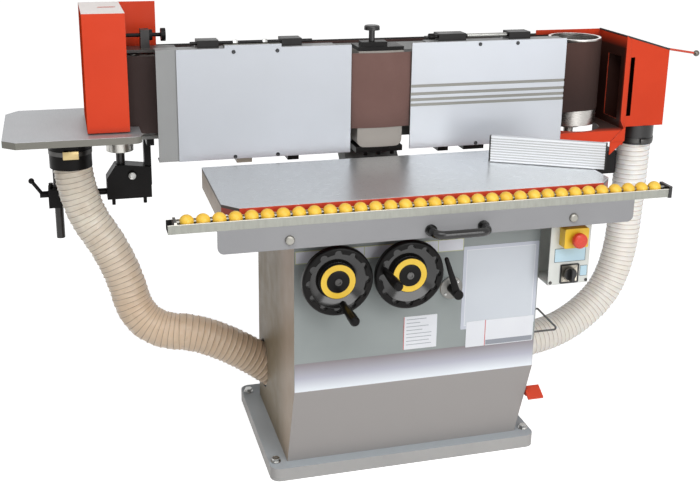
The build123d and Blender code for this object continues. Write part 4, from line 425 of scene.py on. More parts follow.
plate_white = sprayed_paint(
    "plate_white", tone(234, 236, 240), tone(226, 228, 233), tone(238, 238, 240), gloss=0.30
)
plate_lilac = sprayed_paint(
    "plate_lilac", tone(205, 209, 219), tone(197, 201, 212), tone(214, 216, 222), gloss=0.32
)
plate_field = sprayed_paint(
    "plate_field", tone(212, 217, 223), tone(206, 211, 218), tone(220, 224, 228), gloss=0.32
)
ink_red = sprayed_paint("ink_red", tone(208, 72, 70), tone(198, 62, 60), tone(214, 96, 92), gloss=0.35)
ink_grey = sprayed_paint(
    "ink_grey", tone(158, 162, 170), tone(150, 154, 162), tone(170, 173, 178), gloss=0.35
)
strip_pale = sprayed_paint(
    "strip_pale", tone(226, 227, 233), tone(212, 214, 222), tone(235, 235, 235), gloss=0.32
)
strip_rim = sprayed_paint(
    "strip_rim", tone(200, 203, 160), tone(188, 192, 146), tone(210, 210, 180), gloss=0.35
)
# Painted reflection: the band near white at its foot, darkening upwards.
band_painted_sheen, tree, shader = new_finish("band_painted_sheen")
sheen = mix_tones(tree, along(tree, "Z", 0.270, 0.306), tone(244, 250, 255), tone(186, 187, 199))
sheen = mix_tones(tree, along(tree, "Z", 0.306, 0.342), sheen, tone(144, 137, 140))
sheen = mix_tones(tree, spread(tree, grain(tree, 6.0), 0.0, 0.1), sheen, tone(190, 190, 198))
colour_in(tree, shader, sheen)
roughen(tree, shader, grain(tree, 30.0), 0.28, 0.40)
shader.inputs["Specular IOR Level"].default_value = 0.15
printed_plate(
    "front_band", (-0.3140, 0.3140, 0.2700, 0.3450), FRONT, thick=0.0005, corner=0.0010, finishes=[band_painted_sheen]
)
printed_plate(
    "front_plate",
    (0.1105, 0.3125, 0.3910, 0.6120),
    FRONT,
    thick=0.0008,
    corner=0.0030,
    finishes=[plate_lilac, plate_white, plate_field],
    areas=[(0.1195, 0.3035, 0.4000, 0.6030, 1), (0.1210, 0.3020, 0.4015, 0.6015, 2)],
)
printed_plate(
    "front_subplate",
    (0.1260, 0.3100, 0.3410, 0.4110),
    FRONT - 0.0008,
    thick=0.0006,
    corner=0.0020,
    finishes=[plate_white, ink_red, ink_grey],
    areas=[(0.1768, 0.1786, 0.3410, 0.4110, 1), (0.1800, 0.3080, 0.3430, 0.3560, 2)],
)
printed_plate(
    "front_strip",
    (-0.3130, 0.1100, 0.6030, 0.6350),
    FRONT,
    thick=0.0006,
    corner=0.0020,
    finishes=[strip_rim, strip_pale],
    areas=[
        (-0.3112, -0.1448, 0.6048, 0.6332, 1),
        (-0.1430, 0.0426, 0.6048, 0.6332, 1),
        (0.0444, 0.1082, 0.6048, 0.6332, 1),
    ],
)
rows = [(-0.0390, -0.0375, 0.3530, 0.4410, 1)]
for row, reach in enumerate((0.020, 0.004, 0.026, 0.010, 0.034, 0.034, 0.028, 0.034)):
    height = 0.4320 - row * 0.0096
    rows.append((-0.0320, reach, height, height + 0.0016, 2))
printed_plate(
    "ruled_plate",
    (-0.0390, 0.0480, 0.3530, 0.4410),
    FRONT,
    thick=0.0006,
    corner=0.0015,
    finishes=[plate_white, ink_red, ink_grey],
    areas=rows,
)


def round_head(name, body, slot, finish, place, radius, height, turn=(math.pi / 2, 0, 0), socket=0.45):
    """A low screw or rivet head with a rounded brim and a socket in it."""
    fresh_round(place, radius, height, sides=24, turn=turn)
    out = Matrix.Rotation(turn[0], 3, "X") @ Vector((0, 0, 1))
    brim = height * 0.45
    pick("FACE", lambda f: f.normal.dot(out) > 0.9)
    bpy.ops.mesh.bevel(offset=brim, segments=3, affect="EDGES")
    pick("FACE", lambda f: f.normal.dot(out) > 0.99 and len(f.verts) > 8)
    bpy.ops.mesh.inset(thickness=(radius - brim) * (1 - socket))
    bpy.ops.transform.translate(value=tuple(out * -height * 0.5))
    return settle(name, body, slot, finish)


plate_alloy = machined_metal("plate_alloy", tone(132, 131, 128), tone(118, 117, 114), polish=0.46)
fresh_round((0.081, -0.2866, 0.5085), radius=0.0288, length=0.0012)
pick("FACE", to_front)
bpy.ops.mesh.bevel(offset=0.0004, segments=2, affect="EDGES")
settle("lock_disc", "base", "cabinet_paint", plate_alloy)
disc_screw = round_head(
    "disc_screw_1",
    "base",
    "bright_steel",
    bright_steel,
    (0.0650, -0.2880, 0.4930),
    radius=0.0036,
    height=0.0018,
)
another(disc_screw, "disc_screw_2", "base", (0.0320, 0, 0.0310))
panel_screw = round_head(
    "panel_screw_1",
    "base",
    "bright_steel",
    bright_steel,
    (-0.300, 0.1722, 0.640),
    radius=0.006,
    height=0.0028,
    turn=(-math.pi / 2, 0, 0),
)
others = ((0.2, 0), (0.4, 0), (0.6, 0), (0, -0.29), (0.6, -0.29), (0, -0.58), (0.6, -0.58))
for number, (x, z) in enumerate(others, 2):
    another(panel_screw, f"panel_screw_{number}", "base", (x, 0, z))

# The dust plenum inside the cabinet: a box of galvanised sheet in which both hoses end. Only its
# outlet shows, at the back.
galvanised = machined_metal("galvanised", tone(178, 182, 184), tone(150, 154, 158), polish=0.42, fine=26.0)
dress(galvanised, "dust_plenum")

# Shaft bearings, rod guides, saddle, cross ways, guide columns and lift gear: cast iron and machined
# steel under the table, bolted into the cabinet and lightly oiled.
cast_grey = sprayed_paint(
    "cast_grey",
    tone(138, 140, 139),
    tone(120, 122, 121),
    tone(165, 166, 165),
    gloss=0.5,
    edge=0.002,
    peel=0.5,
)
oiled_steel = machined_metal(
    "oiled_steel", tone(176, 176, 172), tone(132, 131, 126), polish=0.28, lines=(1, 1, 30)
)
dress(cast_grey, "shaft_bearings", "saddle", "rod_guides")
dress(oiled_steel, "cross_ways", "lift_columns", "lift_gear")

# The table: one grey iron casting. The top is ground bright and mirrors what stands on it, and is painted
# brighter towards the right as a painted reflection. The ends are bare iron, painted tan with the warm light
# from the left, drawn down in a deep rib below a dark rim; the long sides and the chamfers are painted red,
# the chamfers a darker red as painted shade.
table_finish, tree, shader = new_finish("table_finish")
on_top = along(tree, "Z", 0.7660, 0.7666)
rim = along(tree, "Z", 0.7590, 0.7600)
sideways = tree.nodes.new("ShaderNodeMath")
sideways.operation = "ABSOLUTE"
tree.links.new(facing(tree, "X"), sideways.inputs[0])
at_end = spread(tree, sideways.outputs[0], 0.0, 1.0, 0.92, 0.96)
off_front = spread(tree, sideways.outputs[0], 0.0, 1.0, 0.40, 0.55)
lines = grain(tree, 60.0, 4.0, (0.6, 14, 1))
red_coat = clouded(tree, 6.0, tone(206, 64, 40), tone(220, 76, 48))
# Painted shade: the chamfers a darker red.
red_coat = mix_tones(tree, off_front, red_coat, tone(140, 44, 28))
# The bare ends, tan with painted warm light from the left.
bare_end_warm_light = clouded(tree, 40.0, tone(150, 136, 121), tone(166, 151, 135))
# Painted reflection: the ground top brighter towards the right.
ground = mix_tones(tree, along(tree, "X", -0.20, 0.25), tone(202, 204, 204), tone(244, 248, 250))
ground = mix_tones(tree, spread(tree, grain(tree, 3.0), 0.0, 0.3), ground, tone(222, 225, 228))
ground = mix_tones(tree, spread(tree, lines, 0.0, 0.14), ground, tone(150, 152, 154))
sides = mix_tones(tree, at_end, red_coat, bare_end_warm_light)
sides = mix_tones(tree, only_where(tree, rim, off_front), sides, tone(52, 42, 36))
colour_in(tree, shader, mix_tones(tree, on_top, sides, ground))
tree.links.new(spread(tree, on_top, 0.0, 0.75, 0.0, 1.0), shader.inputs["Metallic"])
shine = tree.nodes.new("ShaderNodeMix")
tree.links.new(on_top, shine.inputs[0])
shine.inputs[2].default_value = 0.45
tree.links.new(spread(tree, lines, 0.26, 0.36), shine.inputs[3])
tree.links.new(shine.outputs[0], shader.inputs["Roughness"])
soft_edges(tree, shader, 0.0012, lines, depth=0.00004, strength=0.15)
dress(table_finish, "table_top")
fresh_block(middle=(-0.4800, -0.1340, 0.7275), size=(0.0100, 0.3140, 0.0350))
pick("EDGE", lambda e: all(v.co.z < 0.711 for v in e.verts))
bpy.ops.mesh.bevel(offset=0.0030, segments=3, affect="EDGES")
end_rib = settle("table_end_left", "table", "ground_iron", table_finish)
another(end_rib, "table_end_right", "table", (0.9600, 0, 0))

# The roller support: a folded grey apron with a bow handle on two guide rods, a zinc-plated channel
# on top of it, open at the left and closed by a moulded cap at the right, and a row of moulded ball
# rollers on one axle.
zinc, tree, shader = new_finish("zinc")
spangle = grain(tree, 30.0, 4.0, (6, 1, 1))
plated = mix_tones(tree, spread(tree, spangle, 0.0, 1.0), tone(145, 146, 138), tone(157, 158, 150))
# Painted highlight: the channel's top edges near white.
plated = mix_tones(tree, along(tree, "Z", 0.7545, 0.7556), plated, tone(236, 233, 222))
# Painted shade: the plate at the channel's open left end, dark.
shaded_end_plate = only_where(
    tree,
    along(tree, "X", -0.5935, -0.5945),
    along(tree, "Y", -0.3805, -0.3795),
    along(tree, "Y", -0.3415, -0.3425),
)
colour_in(tree, shader, mix_tones(tree, shaded_end_plate, plated, tone(96, 93, 88)))
roughen(tree, shader, spangle, 0.34, 0.48)
soft_edges(tree, shader, 0.0008, spangle, depth=0.00005, strength=0.2)
shader.inputs["Metallic"].default_value = 0.4


def moulded_plastic(name, colour, shade, gloss=0.35, pores=0.12, edge=0.0008):
    """Injection-moulded plastic with a faint grain."""
    finish, tree, shader = new_finish(name)
    colour_in(tree, shader, clouded(tree, 18.0, shade, colour))
    roughen(tree, shader, grain(tree, 40.0), gloss - 0.05, gloss + 0.07)
    soft_edges(tree, shader, edge, grain(tree, 900.0, 2.0), depth=0.0002, strength=pores)
    return finish


roller_yellow = moulded_plastic(
    "roller_yellow", tone(250, 206, 76), tone(242, 192, 60), gloss=0.38, pores=0.30
)
black_plastic = moulded_plastic("black_plastic", tone(30, 28, 28), tone(22, 21, 21), gloss=0.30, pores=0.20)
# The apron's faces turned to the left are painted near black.
dark_left_faces = ("X", -1, tone(40, 38, 37), tone(40, 38, 37))
apron_grey = sprayed_paint(
    "apron_grey", tone(154, 154, 156), tone(148, 148, 150), tone(190, 192, 193), side_tones=dark_left_faces
)
dress(apron_grey, "apron")
dress(zinc, "roller_rail")
rod_steel = machined_metal("rod_steel", tone(152, 150, 143), tone(130, 128, 122), polish=0.36)
dress(rod_steel, "support_rods")
dress(roller_yellow, "rollers")
handle_black = moulded_plastic("handle_black", tone(16, 15, 15), tone(11, 10, 10), gloss=0.18, pores=0.05)
dress(black_plastic, "rail_cap")
dress(handle_black, "pull_handle")
# A short open end for the channel; its inside faces are painted black as painted shade.
fresh_block(middle=(-0.6070, -0.3610, 0.7455), size=(0.0140, 0.0420, 0.0210))
pick("FACE", lambda f: f.normal.z > 0.9 or f.normal.x < -0.9)
bpy.ops.mesh.delete(type="FACE")
bpy.ops.mesh.select_all(action="SELECT")
bpy.ops.mesh.solidify(thickness=0.0020)
bpy.ops.mesh.select_all(action="SELECT")
bpy.ops.mesh.normals_make_consistent(inside=False)
tint(1, lambda f: within(f, (-0.6135, -0.3805, 0.7355), (-0.6005, -0.3415, 0.7555)))
settle("rail_end", "roller_support", "zinc", zinc, black_plastic)

# The handwheels: glossy black moulded wheels with finger waves inside the rim, a yellow ring and
# a black cap with a socket screw in the middle, and a turning grip on a stud. The dish is
# polished, the rim and the grip are satin.
wheel_black, tree, shader = new_finish("wheel_black")
in_dish = only_where(tree, turned(tree, "Y", -0.80, -0.90), along(tree, "Y", -0.3508, -0.3502))
black = clouded(tree, 18.0, tone(13, 12, 12), tone(20, 18, 17))
colour_in(tree, shader, black)
roughen(tree, shader, in_dish, 0.30, 0.12, 0.0, 1.0)
tree.links.new(spread(tree, in_dish, 0.12, 0.60, 0.0, 1.0), shader.inputs["Specular IOR Level"])
soft_edges(tree, shader, 0.0015, grain(tree, 900.0, 2.0), depth=0.0002, strength=0.02)
ring_yellow = moulded_plastic("ring_yellow", tone(234, 196, 62), tone(224, 184, 50), gloss=0.35, pores=0.10)
dark_steel = machined_metal("dark_steel", tone(92, 91, 90), tone(60, 59, 58), polish=0.32)
dress(wheel_black, "handwheel_left", "handwheel_right", "crank_grip_left", "crank_grip_right")
for side, hub_x in (("left", -0.227), ("right", -0.052)):
    hub = Vector((hub_x, -0.3546, 0.580))
    fresh_round(hub, radius=0.0415, length=0.0012)
    pick("FACE", to_front)
    for inset, push in (
        (0.0140, 0.0),
        (0.0006, -0.0012),
        (0.0040, -0.0012),
        (0.0140, 0.0),
        (0.0004, -0.0016),
        (0.0030, 0.0),
        (0.0002, 0.0022),
    ):
        bpy.ops.mesh.inset(thickness=inset)
        bpy.ops.transform.translate(value=(0, push, 0))
    tint(1, lambda f: (f.calc_center_median() - hub).xz.length < 0.0277)
    tint(2, lambda f: (f.calc_center_median() - hub).xz.length < 0.0090)
    settle(f"wheel_cap_{side}", f"wheel_{side}", "black_plastic", ring_yellow, wheel_black, dark_steel)

# The lock lever: a tapered cast lever, enamelled black, on a stud that goes through the round plate
# into the cabinet and clamps the table's height.
black_enamel = sprayed_paint(
    "black_enamel", tone(30, 28, 28), tone(22, 21, 21), tone(78, 76, 75), gloss=0.32, edge=0.0012
)
dress(black_enamel, "lock_lever")

# The control box: pale moulded plastic with a yellow emergency stop, a rotary switch on a framed
# plate, two plain blue labels and a screw in each lower corner.
box_pale = moulded_plastic(
    "box_pale", tone(219, 221, 216), tone(208, 210, 205), gloss=0.42, pores=0.15, edge=0.0018
)
stop_yellow = moulded_plastic(
    "stop_yellow", tone(236, 196, 50), tone(226, 184, 40), gloss=0.35, pores=0.12, edge=0.0015
)
stop_red = moulded_plastic("stop_red", tone(214, 62, 38), tone(200, 50, 30), gloss=0.28, pores=0.06)
label_blue = sprayed_paint(
    "label_blue", tone(198, 224, 236), tone(186, 214, 228), tone(206, 226, 236), gloss=0.30
)
label_rim = sprayed_paint("label_rim", tone(92, 104, 112), tone(80, 92, 100), tone(120, 128, 132), gloss=0.35)
switch_face = machined_metal(
    "switch_face", tone(190, 184, 172), tone(168, 162, 150), polish=0.36, lines=(1, 1, 30)
)
BOX_FRONT = -0.337
dress(box_pale, "control_box")
dress(stop_yellow, "estop_housing")
dress(stop_red, "estop_button")
dress(black_plastic, "switch_knob")
printed_plate(
    "stop_label",
    (0.3280, 0.4120, 0.5710, 0.6070),
    BOX_FRONT,
    thick=0.0006,
    corner=0.0015,
    finishes=[label_rim, label_blue],
    areas=[(0.3292, 0.4108, 0.5722, 0.6058, 1)],
)
printed_plate(
    "switch_label",
    (0.4000, 0.4200, 0.5300, 0.5580),
    BOX_FRONT,
    thick=0.0006,
    corner=0.0010,
    finishes=[label_rim, label_blue],
    areas=[(0.4010, 0.4190, 0.5310, 0.5570, 1)],
)
fresh_block(middle=(0.371, BOX_FRONT - 0.0019, 0.540), size=(0.050, 0.0038, 0.050))
pick("EDGE", along_y)
bpy.ops.mesh.bevel(offset=0.0030, segments=5, affect="EDGES")
pick("FACE", to_front)
bpy.ops.mesh.inset(thickness=0.0040)
bpy.ops.transform.translate(value=(0, 0.0015, 0))
tint(1)
settle("switch_plate", "base", "black_plastic", black_plastic, switch_face)
box_screw = round_head(
    "box_screw_1",
    "base",
    "bright_steel",
    dark_steel,
    (0.3215, BOX_FRONT - 0.001, 0.5185),
    radius=0.0042,
    height=0.002,
)
another(box_screw, "box_screw_2", "base", (0.097, 0, 0))


# On the cabinet's right side: a bent wire hook, and a sheet-steel foot pedal painted red like the
# guards. The red of the sheets is painted darker in corners and inside the right guard and the dust box as
# painted shade, and near white on their tops as a painted highlight.
def nooks(tree, reach, start, end):
    """1 deep in a corner or hollow, 0 out in the open."""
    shelter = tree.nodes.new("ShaderNodeAmbientOcclusion")
    shelter.samples = 8
    shelter.inputs["Distance"].default_value = reach
    return spread(tree, shelter.outputs["AO"], 1.0, 0.0, start, end)


machine_red, tree, shader = new_finish("machine_red")
coat = clouded(tree, 5.0, tone(211, 63, 31), tone(220, 69, 36))
# Painted shade: the red darker in corners and creases.
coat = mix_tones(tree, nooks(tree, 0.03, 0.30, 0.90), coat, tone(150, 48, 30))
upward = turned(tree, "Z", 0.70, 0.95)
guard_hollow = only_where(
    tree,
    along(tree, "X", 0.580, 0.680),
    along(tree, "X", 0.7590, 0.7583),
    along(tree, "Z", 1.040, 1.010),
    along(tree, "Y", 0.115, 0.150),
    turned(tree, "Y", 0.90, 0.70),
)
box_hollow = only_where(
    tree,
    along(tree, "X", 0.7605, 0.7612),
    along(tree, "X", 0.8988, 0.8982),
    along(tree, "Y", 0.1432, 0.1438),
    along(tree, "Y", 0.2488, 0.2482),
    spread(tree, upward, 1.0, 0.0, 0.0, 1.0),
)
# Painted shade: the inside of the right guard and of the dust box, dark.
coat = mix_tones(tree, guard_hollow, coat, tone(58, 33, 27))
coat = mix_tones(tree, box_hollow, coat, tone(50, 28, 23))
# Painted highlight: the tops of the red sheets near white, most of all high up.
top_highlight = only_where(tree, upward, spread(tree, along(tree, "Z", 1.10, 1.14), 0.03, 1.0, 0.0, 1.0))
coat = mix_tones(tree, top_highlight, coat, tone(254, 246, 242))
near_edge = soft_edges(tree, shader, 0.0014, grain(tree, 650.0, 2.0), depth=0.0002, strength=0.22)
scuffed = only_where(tree, near_edge, spread(tree, grain(tree, 60.0), 0.0, 0.7, 0.45, 0.65))
colour_in(tree, shader, mix_tones(tree, scuffed, coat, tone(238, 136, 106)))
roughen(tree, shader, grain(tree, 22.0), 0.34, 0.46)
sheen = spread(tree, along(tree, "X", -0.7572, -0.7578), 0.18, 0.0, 0.0, 1.0)
tree.links.new(sheen, shader.inputs["Specular IOR Level"])
dress(dark_steel, "wire_hook")
dress(machine_red, "foot_pedal")

# The head: a square beam on a leaning cast column, the idler yoke at its left end and the motor at its
# right. The yoke is grey, painted dark on its upper part, and the tracking bracket that stands on it is
# black like its screw.
head_grey = sprayed_paint(
    "head_grey", tone(150, 151, 150), tone(138, 139, 138), tone(180, 180, 180), gloss=0.42
)
motor_black = sprayed_paint("motor_black", tone(40, 39, 39), tone(31, 30, 30), tone(84, 84, 84), gloss=0.45)
yoke_paint, tree, shader = new_finish("yoke_paint")
bracket = along(tree, "Z", 1.0445, 1.0455)
upper = mix_tones(tree, along(tree, "Z", 1.0290, 1.0300), tone(152, 152, 150), tone(58, 54, 52))
colour_in(tree, shader, mix_tones(tree, bracket, upper, tone(38, 35, 34)))
roughen(tree, shader, grain(tree, 22.0), 0.35, 0.48)
soft_edges(tree, shader, 0.0014, grain(tree, 650.0, 2.0), depth=0.0002, strength=0.22)
dress(cast_grey, "head_support")
dress(head_grey, "head_beam")
dress(yoke_paint, "idler_yoke")
dress(black_enamel, "tracking_screw")
dress(motor_black, "motor")

# Drums of turned steel, painted darker in their hollows as painted shade and near white at the rim as a
# painted highlight, and the belt over them: brown cloth coated with sharp grit, painted darker as painted
# shade where it dips behind the guards and fences, lower down and in its hollows.
drum_steel, tree, shader = new_finish("drum_steel")
turning = grain(tree, 50.0, 4.0, (1, 1, 30))
steel = mix_tones(tree, spread(tree, turning, 0.0, 1.0), tone(160, 157, 153), tone(196, 193, 189))
# Painted shade: the steel darker in the hollows.
steel = mix_tones(tree, nooks(tree, 0.12, 0.20, 0.75), steel, tone(136, 133, 128))
# Painted highlight: the rim near white.
colour_in(tree, shader, mix_tones(tree, along(tree, "Z", 1.0385, 1.0395), steel, tone(244, 242, 240)))
roughen(tree, shader, turning, 0.22, 0.36)
soft_edges(tree, shader, 0.0008, turning, depth=0.00005, strength=0.2)
shader.inputs["Metallic"].default_value = 1.0
dress(drum_steel, "drive_drum", "idler_drum")
belt_grit, tree, shader = new_finish("belt_grit")
patches = clouded(tree, 9.0, tone(104, 74, 67), tone(115, 84, 77))
specks = grain(tree, 1500.0, 2.0)
patches = mix_tones(tree, spread(tree, specks, 0.0, 0.4), patches, tone(84, 58, 53))
# Painted shade on the belt's right part: darker lower down, darkest at its right end; its specular is lowered
# there.
right_shade = mix_tones(tree, along(tree, "Z", 0.860, 1.010), tone(50, 35, 32), tone(76, 54, 49))
right_shade = mix_tones(tree, along(tree, "X", 0.620, 0.700), right_shade, tone(40, 26, 22))
right_shade_share = along(tree, "X", 0.10, 0.40)
patches = mix_tones(tree, right_shade_share, patches, right_shade)
tree.links.new(spread(tree, right_shade_share, 0.50, 0.22), shader.inputs["Specular IOR Level"])
# Painted shade on the belt's left part.
patches = mix_tones(tree, along(tree, "X", -0.10, -0.40), patches, tone(52, 36, 32))
# Painted shade in the belt's hollows.
colour_in(tree, shader, mix_tones(tree, nooks(tree, 0.20, 0.35, 0.85), patches, tone(48, 31, 28)))
roughen(tree, shader, specks, 0.62, 0.88)
soft_edges(tree, shader, 0.0003, specks, depth=0.0004, strength=0.45)
dress(belt_grit, "sanding_belt")

# The shoe behind the belt: grey cast iron with a machined edge, clamped between black plates
# by a knob on a tall stem.
shoe_iron = sprayed_paint(
    "shoe_iron",
    tone(168, 162, 156),
    tone(150, 145, 139),
    tone(196, 192, 186),
    gloss=0.40,
    edge=0.002,
    peel=0.35,
)
dress(shoe_iron, "sanding_shoe")
dress(black_enamel, "shoe_plates")
dress(black_plastic, "shoe_knob")

# The fences: pale anodised alloy on grey carrier plates, held by black arms from the beam; the left fence is
# painted a little darker. Black socket screws fix each fence near its top and bottom edge; the grooves of the
# right fence and of the mitre fence are painted darker as painted shade. The right arm's spindle is bare
# thread, painted dark in its roots as painted shade; the left rod carries two bright nuts.
fence_alloy, tree, shader = new_finish("fence_alloy")
rolling = grain(tree, 70.0, 4.0, (0.5, 1, 8))
anodised = clouded(tree, 2.5, tone(186, 189, 194), tone(196, 200, 207))
# The left fence is painted a little darker.
anodised = mix_tones(
    tree, spread(tree, along(tree, "X", 0.1, -0.1), 0.0, 0.5, 0.0, 1.0), anodised, tone(160, 164, 171)
)
# Painted shade: the groove floors darker.
anodised = mix_tones(tree, along(tree, "Y", 0.0692, 0.0700), anodised, tone(138, 137, 131))
colour_in(tree, shader, anodised)
roughen(tree, shader, rolling, 0.36, 0.44)
soft_edges(tree, shader, 0.0006, rolling, depth=0.00005, strength=0.10)
shader.inputs["Metallic"].default_value = 0.3
carrier_grey = sprayed_paint(
    "carrier_grey", tone(156, 157, 157), tone(148, 149, 149), tone(186, 186, 186), gloss=0.38
)
screw_black = moulded_plastic("screw_black", tone(40, 42, 46), tone(30, 32, 36), gloss=0.30, pores=0.05)
mitre_alloy, tree, shader = new_finish("mitre_alloy")
rolling = grain(tree, 70.0, 4.0, (0.5, 1, 8))
bright = clouded(tree, 2.5, tone(222, 224, 228), tone(232, 234, 238))
# Painted shade: the grooves darker.
bright = mix_tones(tree, nooks(tree, 0.006, 0.40, 0.90), bright, tone(168, 168, 166))
colour_in(tree, shader, bright)
roughen(tree, shader, rolling, 0.36, 0.44)
soft_edges(tree, shader, 0.0004, rolling, depth=0.00005, strength=0.10)
shader.inputs["Metallic"].default_value = 0.2
dress(fence_alloy, "fence_left", "fence_right")
dress(mitre_alloy, "mitre_fence")
dress(carrier_grey, "front_plates")
arm_paint, tree, shader = new_finish("arm_paint")
bare_foot = only_where(tree, along(tree, "Z", 0.7722, 0.7718), along(tree, "X", -0.3435, -0.3465))
black = clouded(tree, 5.0, tone(22, 21, 21), tone(30, 28, 28))
colour_in(tree, shader, mix_tones(tree, bare_foot, black, tone(172, 166, 153)))
roughen(tree, shader, grain(tree, 22.0), 0.27, 0.40)
soft_edges(tree, shader, 0.0012, grain(tree, 650.0, 2.0), depth=0.0002, strength=0.22)
shader.inputs["Specular IOR Level"].default_value = 0.20
dress(arm_paint, "fence_arms")
dress(black_plastic, "mitre_caps")
dress(oiled_steel, "mitre_base")
fence_screw = round_head(
    "fence_screw_left_1",
    "fence_left",
    "black_metal",
    screw_black,
    (-0.391, 0.0668, 1.0500),
    radius=0.0050,
    height=0.0026,
)
for name, body, x, z in (
    ("left_2", "fence_left", 0.112, 0.0),
    ("left_3", "fence_left", 0.0, -0.272),
    ("left_4", "fence_left", 0.112, -0.272),
    ("right_1", "fence_right", 0.666, 0.0),
    ("right_2", "fence_right", 0.775, 0.0),
    ("right_3", "fence_right", 0.666, -0.272),
    ("right_4", "fence_right", 0.775, -0.272),
):
    another(fence_screw, f"fence_screw_{name}", body, (x, 0, z))

thread_steel, tree, shader = new_finish("thread_steel")
place = tree.nodes.new("ShaderNodeTexCoord")
turns = tree.nodes.new("ShaderNodeTexWave")
turns.bands_direction = "X"
turns.inputs["Scale"].default_value = 120.0
tree.links.new(place.outputs["Object"], turns.inputs["Vector"])
# Painted shade: the thread's roots dark between bright crests.
thread = mix_tones(tree, turns.outputs["Fac"], tone(110, 110, 106), tone(206, 206, 202))
colour_in(tree, shader, thread)
roughen(tree, shader, grain(tree, 60.0), 0.25, 0.40)
soft_edges(tree, shader, 0.0004, turns.outputs["Fac"], depth=0.0006, strength=0.6)
shader.inputs["Metallic"].default_value = 1.0


def cross_bar(name, slot, finish, left, right, radius, sides=32):
    """A bar on the line of the arm rods, with broken end edges."""
    middle = ((left + right) / 2, 0.094, 1.0700)
    fresh_round(middle, radius, right - left, sides, turn=(0, math.pi / 2, 0))
    pick("FACE", lambda f: abs(f.normal.x) > 0.9)
    bpy.ops.mesh.bevel(offset=radius * 0.18, segments=2, affect="EDGES")
    return settle(name, "base", slot, finish)


cross_bar("arm_spindle", "bright_steel", thread_steel, left=0.2450, right=0.3600, radius=0.0058)
cross_bar("spindle_knob", "black_metal", black_enamel, left=0.1360, right=0.1530, radius=0.0085)
rod_nut = cross_bar(
    "rod_nut_1", "bright_steel", bright_steel, left=-0.3890, right=-0.3760, radius=0.0072, sides=6
)
another(rod_nut, "rod_nut_2", "base", (0.0760, 0, 0))

# Guards and dust box: folded sheet painted red, with black rubber edging along the top of the right
# guard, the box and the rear cover. The tension lever is a red rod with a steel ball.
lever_paint, tree, shader = new_finish("lever_paint")
ball = along(tree, "X", 1.0615, 1.0625)
colour_in(tree, shader, mix_tones(tree, ball, tone(214, 74, 46), tone(108, 104, 98)))
tree.links.new(ball, shader.inputs["Metallic"])
roughen(tree, shader, grain(tree, 40.0), 0.26, 0.38)
soft_edges(tree, shader, 0.0008, grain(tree, 650.0, 2.0), depth=0.0002, strength=0.15)
dress(machine_red, "left_guard", "right_guard", "dust_hood", "rear_cover")
dress(lever_paint, "tension_lever")
edging = moulded_plastic("edging", tone(34, 30, 29), tone(24, 22, 21), gloss=0.55, pores=0.3)


def edge_strip(name, start, end, width, height):
    """A rubber edging, pressed on a sheet's upper edge from start to end."""
    start, end = Vector(start), Vector(end)
    run = end - start
    lean = (0, math.atan2(-run.z, run.x), 0) if run.x else (0, 0, math.pi / 2)
    fresh_block((start + end) / 2, (run.length, width, height), lean)
    pick("EDGE", lambda e: abs((e.verts[1].co - e.verts[0].co).normalized().dot(run.normalized())) > 0.9)
    bpy.ops.mesh.bevel(offset=width * 0.3, segments=3, affect="EDGES")
    settle(name, "base", "black_plastic", edging)


edge_strip("box_edging", (0.7600, 0.1430, 1.0465), (0.9000, 0.1430, 1.0055), width=0.0040, height=0.0050)
edge_strip("guard_edging", (0.7590, 0.1420, 1.0465), (0.7590, 0.3030, 1.0465), width=0.0045, height=0.0050)
edge_strip("rear_edging", (-0.5760, 0.3040, 1.0345), (0.5620, 0.3040, 1.0345), width=0.0040, height=0.0060)

# The small table round the left drum: ground iron on two posts, a black chute below it, and a black
# casting, bar and clamp that carry the posts. The first post is blackened below its pale collar.
small_iron, tree, shader = new_finish("small_iron")
on_top = along(tree, "Z", 0.8540, 0.8546)
lines = grain(tree, 60.0, 4.0, (14, 0.6, 1))
ground = clouded(tree, 3.0, tone(180, 182, 184), tone(192, 194, 197))
ground = mix_tones(tree, spread(tree, lines, 0.0, 0.05), ground, tone(150, 152, 154))
colour_in(tree, shader, mix_tones(tree, on_top, tone(120, 118, 110), ground))
tree.links.new(spread(tree, on_top, 0.0, 0.6, 0.0, 1.0), shader.inputs["Metallic"])
roughen(tree, shader, lines, 0.42, 0.52)
soft_edges(tree, shader, 0.0012, lines, depth=0.00004, strength=0.15)
post_finish, tree, shader = new_finish("post_finish")
collar = along(tree, "Z", 0.7455, 0.7465)
colour_in(tree, shader, mix_tones(tree, collar, tone(36, 33, 32), tone(196, 194, 188)))
tree.links.new(collar, shader.inputs["Metallic"])
roughen(tree, shader, grain(tree, 50.0), 0.30, 0.45)
soft_edges(tree, shader, 0.0008, grain(tree, 300.0), depth=0.0001, strength=0.2)
dress(small_iron, "aux_table")
dress(post_finish, "aux_posts")
dress(black_enamel, "aux_bracket", "aux_chute", "aux_clamp_lever")
round_head(
    "casting_bolt",
    "base",
    "bright_steel",
    bright_steel,
    (-0.640, 0.2898, 0.679),
    radius=0.0105,
    height=0.0030,
    socket=0.55,
)

# The hose cuffs: black moulded sleeves, each with a band of dark spring steel round it as a clamp,
# closed at the front by a worm housing, brass-plated on the left one, where its bright brass also stands in
# as a painted glint on the band.
dress(black_plastic, "hose_cuff_right")
# Brass, bright enough to stand in as a painted glint on the left band.
clamp_brass_glint = machined_metal(
    "clamp_brass_glint", tone(196, 176, 130), tone(164, 144, 102), polish=0.34, lines=(1, 1, 20)
)


